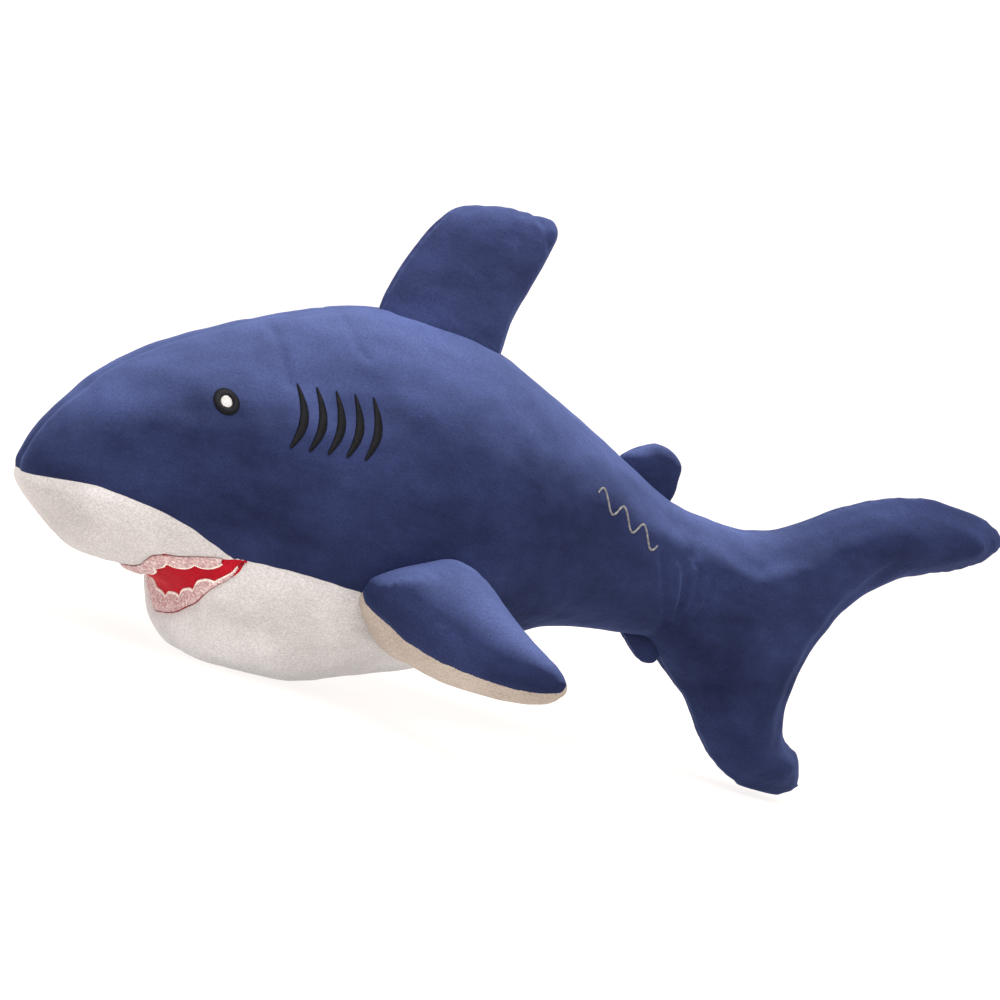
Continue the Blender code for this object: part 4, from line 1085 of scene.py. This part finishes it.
def bound_edge(name, line, radius, material):
    """An overlocked edge: a cord with a thread wound round it."""
    step = np.linalg.norm(np.diff(line, axis=0), axis=1)
    length = np.concatenate([[0], np.cumsum(step)])
    count = int(length[-1] / 0.0006)
    even = np.linspace(0, length[-1], count)
    path = np.stack([np.interp(even, length, line[:, k]) for k in range(3)], axis=1)
    run = np.gradient(path, axis=0)
    run /= np.maximum(np.linalg.norm(run, axis=1, keepdims=True), 1e-9)
    sides = 7
    first = np.cross(run, np.array([0.3, 0.1, 1.0]))
    first /= np.linalg.norm(first, axis=1, keepdims=True)
    second = np.cross(run, first)
    winding = 1 + 0.22 * np.sin(np.arange(count) * 2.1)
    turn = np.arange(sides) * 2 * math.pi / sides
    ring = (np.cos(turn)[None, :, None] * first[:, None] + np.sin(turn)[None, :, None] * second[:, None])
    verts = (path[:, None] + ring * radius * winding[:, None, None]).reshape(-1, 3)
    faces = []
    for i in range(count - 1):
        for k in range(sides):
            a, b = i * sides + k, i * sides + (k + 1) % sides
            faces.append((a, b, b + sides, a + sides))
    faces.append(tuple(reversed(range(sides))))
    faces.append(tuple((count - 1) * sides + k for k in range(sides)))
    made = bpy.data.meshes.new(name)
    made.from_pydata([tuple(v) for v in verts], [], faces)
    made.materials.append(material)
    made.shade_smooth()
    item = new_object(name, made)
    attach(item, "body")
    return item


BINDING_RADIUS = 0.001
LIP_STITCH_RADIUS = 0.0009
upper_line = tooth_strip("upper_tooth_strip", upper_lip[6:-6], 11, 0.0125, 0.50, "upper_teeth", False)
lower_line = tooth_strip("lower_tooth_strip", lower_lip[14:-14], 9, 0.0155, 0.55, "lower_teeth", True)
bound_edge("upper_tooth_binding", upper_line, BINDING_RADIUS, cream_thread)
bound_edge("lower_tooth_binding", lower_line, BINDING_RADIUS, cream_thread)
bound_edge("lower_lip_stitching", lower_lip[3:-3], LIP_STITCH_RADIUS, lip_thread)

# %% [markdown]
# ## The room
#
# The toy stands in a plain pale room with soft light. The floor curves up into the walls far away, so that no
# line shows behind the toy. A large light above and in front gives the long soft highlights on the back, together
# with the painted top light in the velvet, and a weaker one fills the side that faces the viewer.


# %% Floor, walls and light
def pale_room():
    verts, faces = [], []
    rings = [(0, 0), (3.0, 0), (5.0, 0), (6.2, 0.25), (7.0, 0.9), (7.4, 2.0), (7.5, 4.5), (7.2, 6.5), (5.5, 8.0),
             (0, 9.0)]
    sides = 64
    for radius, height in rings:
        for k in range(sides):
            turn = 2 * math.pi * k / sides
            verts.append((radius * math.cos(turn), radius * math.sin(turn), height))
    for i in range(len(rings) - 1):
        for k in range(sides):
            a, b = i * sides + k, i * sides + (k + 1) % sides
            faces.append((a, b, b + sides, a + sides))
    made = bpy.data.meshes.new("room")
    made.from_pydata(verts, [], faces)
    made.shade_smooth()
    return new_object("room", made)


pale = bpy.data.materials.new("pale_room")
pale.use_nodes = True
shader = pale.node_tree.nodes["Principled BSDF"]
shader.inputs["Base Color"].default_value = (0.34, 0.29, 0.26, 1)
shader.inputs["Roughness"].default_value = 0.9
shader.inputs["Specular IOR Level"].default_value = 0.1
shader.inputs["Emission Color"].default_value = (1, 1, 1, 1)
shader.inputs["Emission Strength"].default_value = 0.77
room = pale_room()
room.data.materials.append(pale)


def soft_light(name, place, target, size, power):
    light = bpy.data.lights.new(name, "AREA")
    light.shape = "RECTANGLE"
    light.size, light.size_y = size
    light.energy = power
    item = bpy.data.objects.new(name, light)
    item.location = place
    item.rotation_euler = (Vector(target) - Vector(place)).to_track_quat("-Z", "Y").to_euler()
    bpy.context.scene.collection.objects.link(item)


soft_light("overhead", (-0.5, -0.5, 2.3), (0, 0, 0.15), (2.2, 1.8), 58)
soft_light("viewer side", (-1.7, -2.4, 1.3), (0, 0, 0.15), (1.6, 1.6), 6)
soft_light("far side", (1.6, 2.0, 1.6), (0, 0, 0.15), (1.6, 1.6), 5)

world = bpy.data.worlds.new("world")
bpy.context.scene.world = world
world.use_nodes = True
world.node_tree.nodes["Background"].inputs["Color"].default_value = (1, 1, 1, 1)
world.node_tree.nodes["Background"].inputs["Strength"].default_value = 0.1
bpy.context.scene.view_settings.view_transform = "Standard"

# %% [markdown]
# ## Camera
#
# The camera looks at the shark's left side from a little in front and a little above, and is rolled, so that
# the nose points up and the tail hangs down. A long lens keeps the proportions true.

# %% Camera
YAW, ELEVATION, ROLL = (math.radians(v) for v in (26.0, 4.0, 18.8))
DISTANCE = 1.848
AIM = np.array([-0.0434, 0.0, 0.1662])
forward = np.array([math.sin(YAW) * math.cos(ELEVATION), math.cos(YAW) * math.cos(ELEVATION),
                    -math.sin(ELEVATION)])
level = np.array([math.cos(YAW), -math.sin(YAW), 0.0])
raised = np.cross(level, forward)
right = level * math.cos(ROLL) + raised * math.sin(ROLL)
above = raised * math.cos(ROLL) - level * math.sin(ROLL)
lens = bpy.data.cameras.new("camera")
lens.lens = 90.0
lens.sensor_width = 36.0
lens.clip_start = 0.05
camera = bpy.data.objects.new("camera", lens)
bpy.context.scene.collection.objects.link(camera)
stands = AIM - forward * DISTANCE
camera.matrix_world = Matrix([(right[k], above[k], -forward[k], stands[k]) for k in range(3)] + [(0, 0, 0, 1)])
bpy.context.scene.camera = camera
print("camera at", [round(float(v), 3) for v in camera.location])

# %% [markdown]
# ## Finish
#
# The scene is brought up to date.

# %% Finish
bpy.context.view_layer.update()
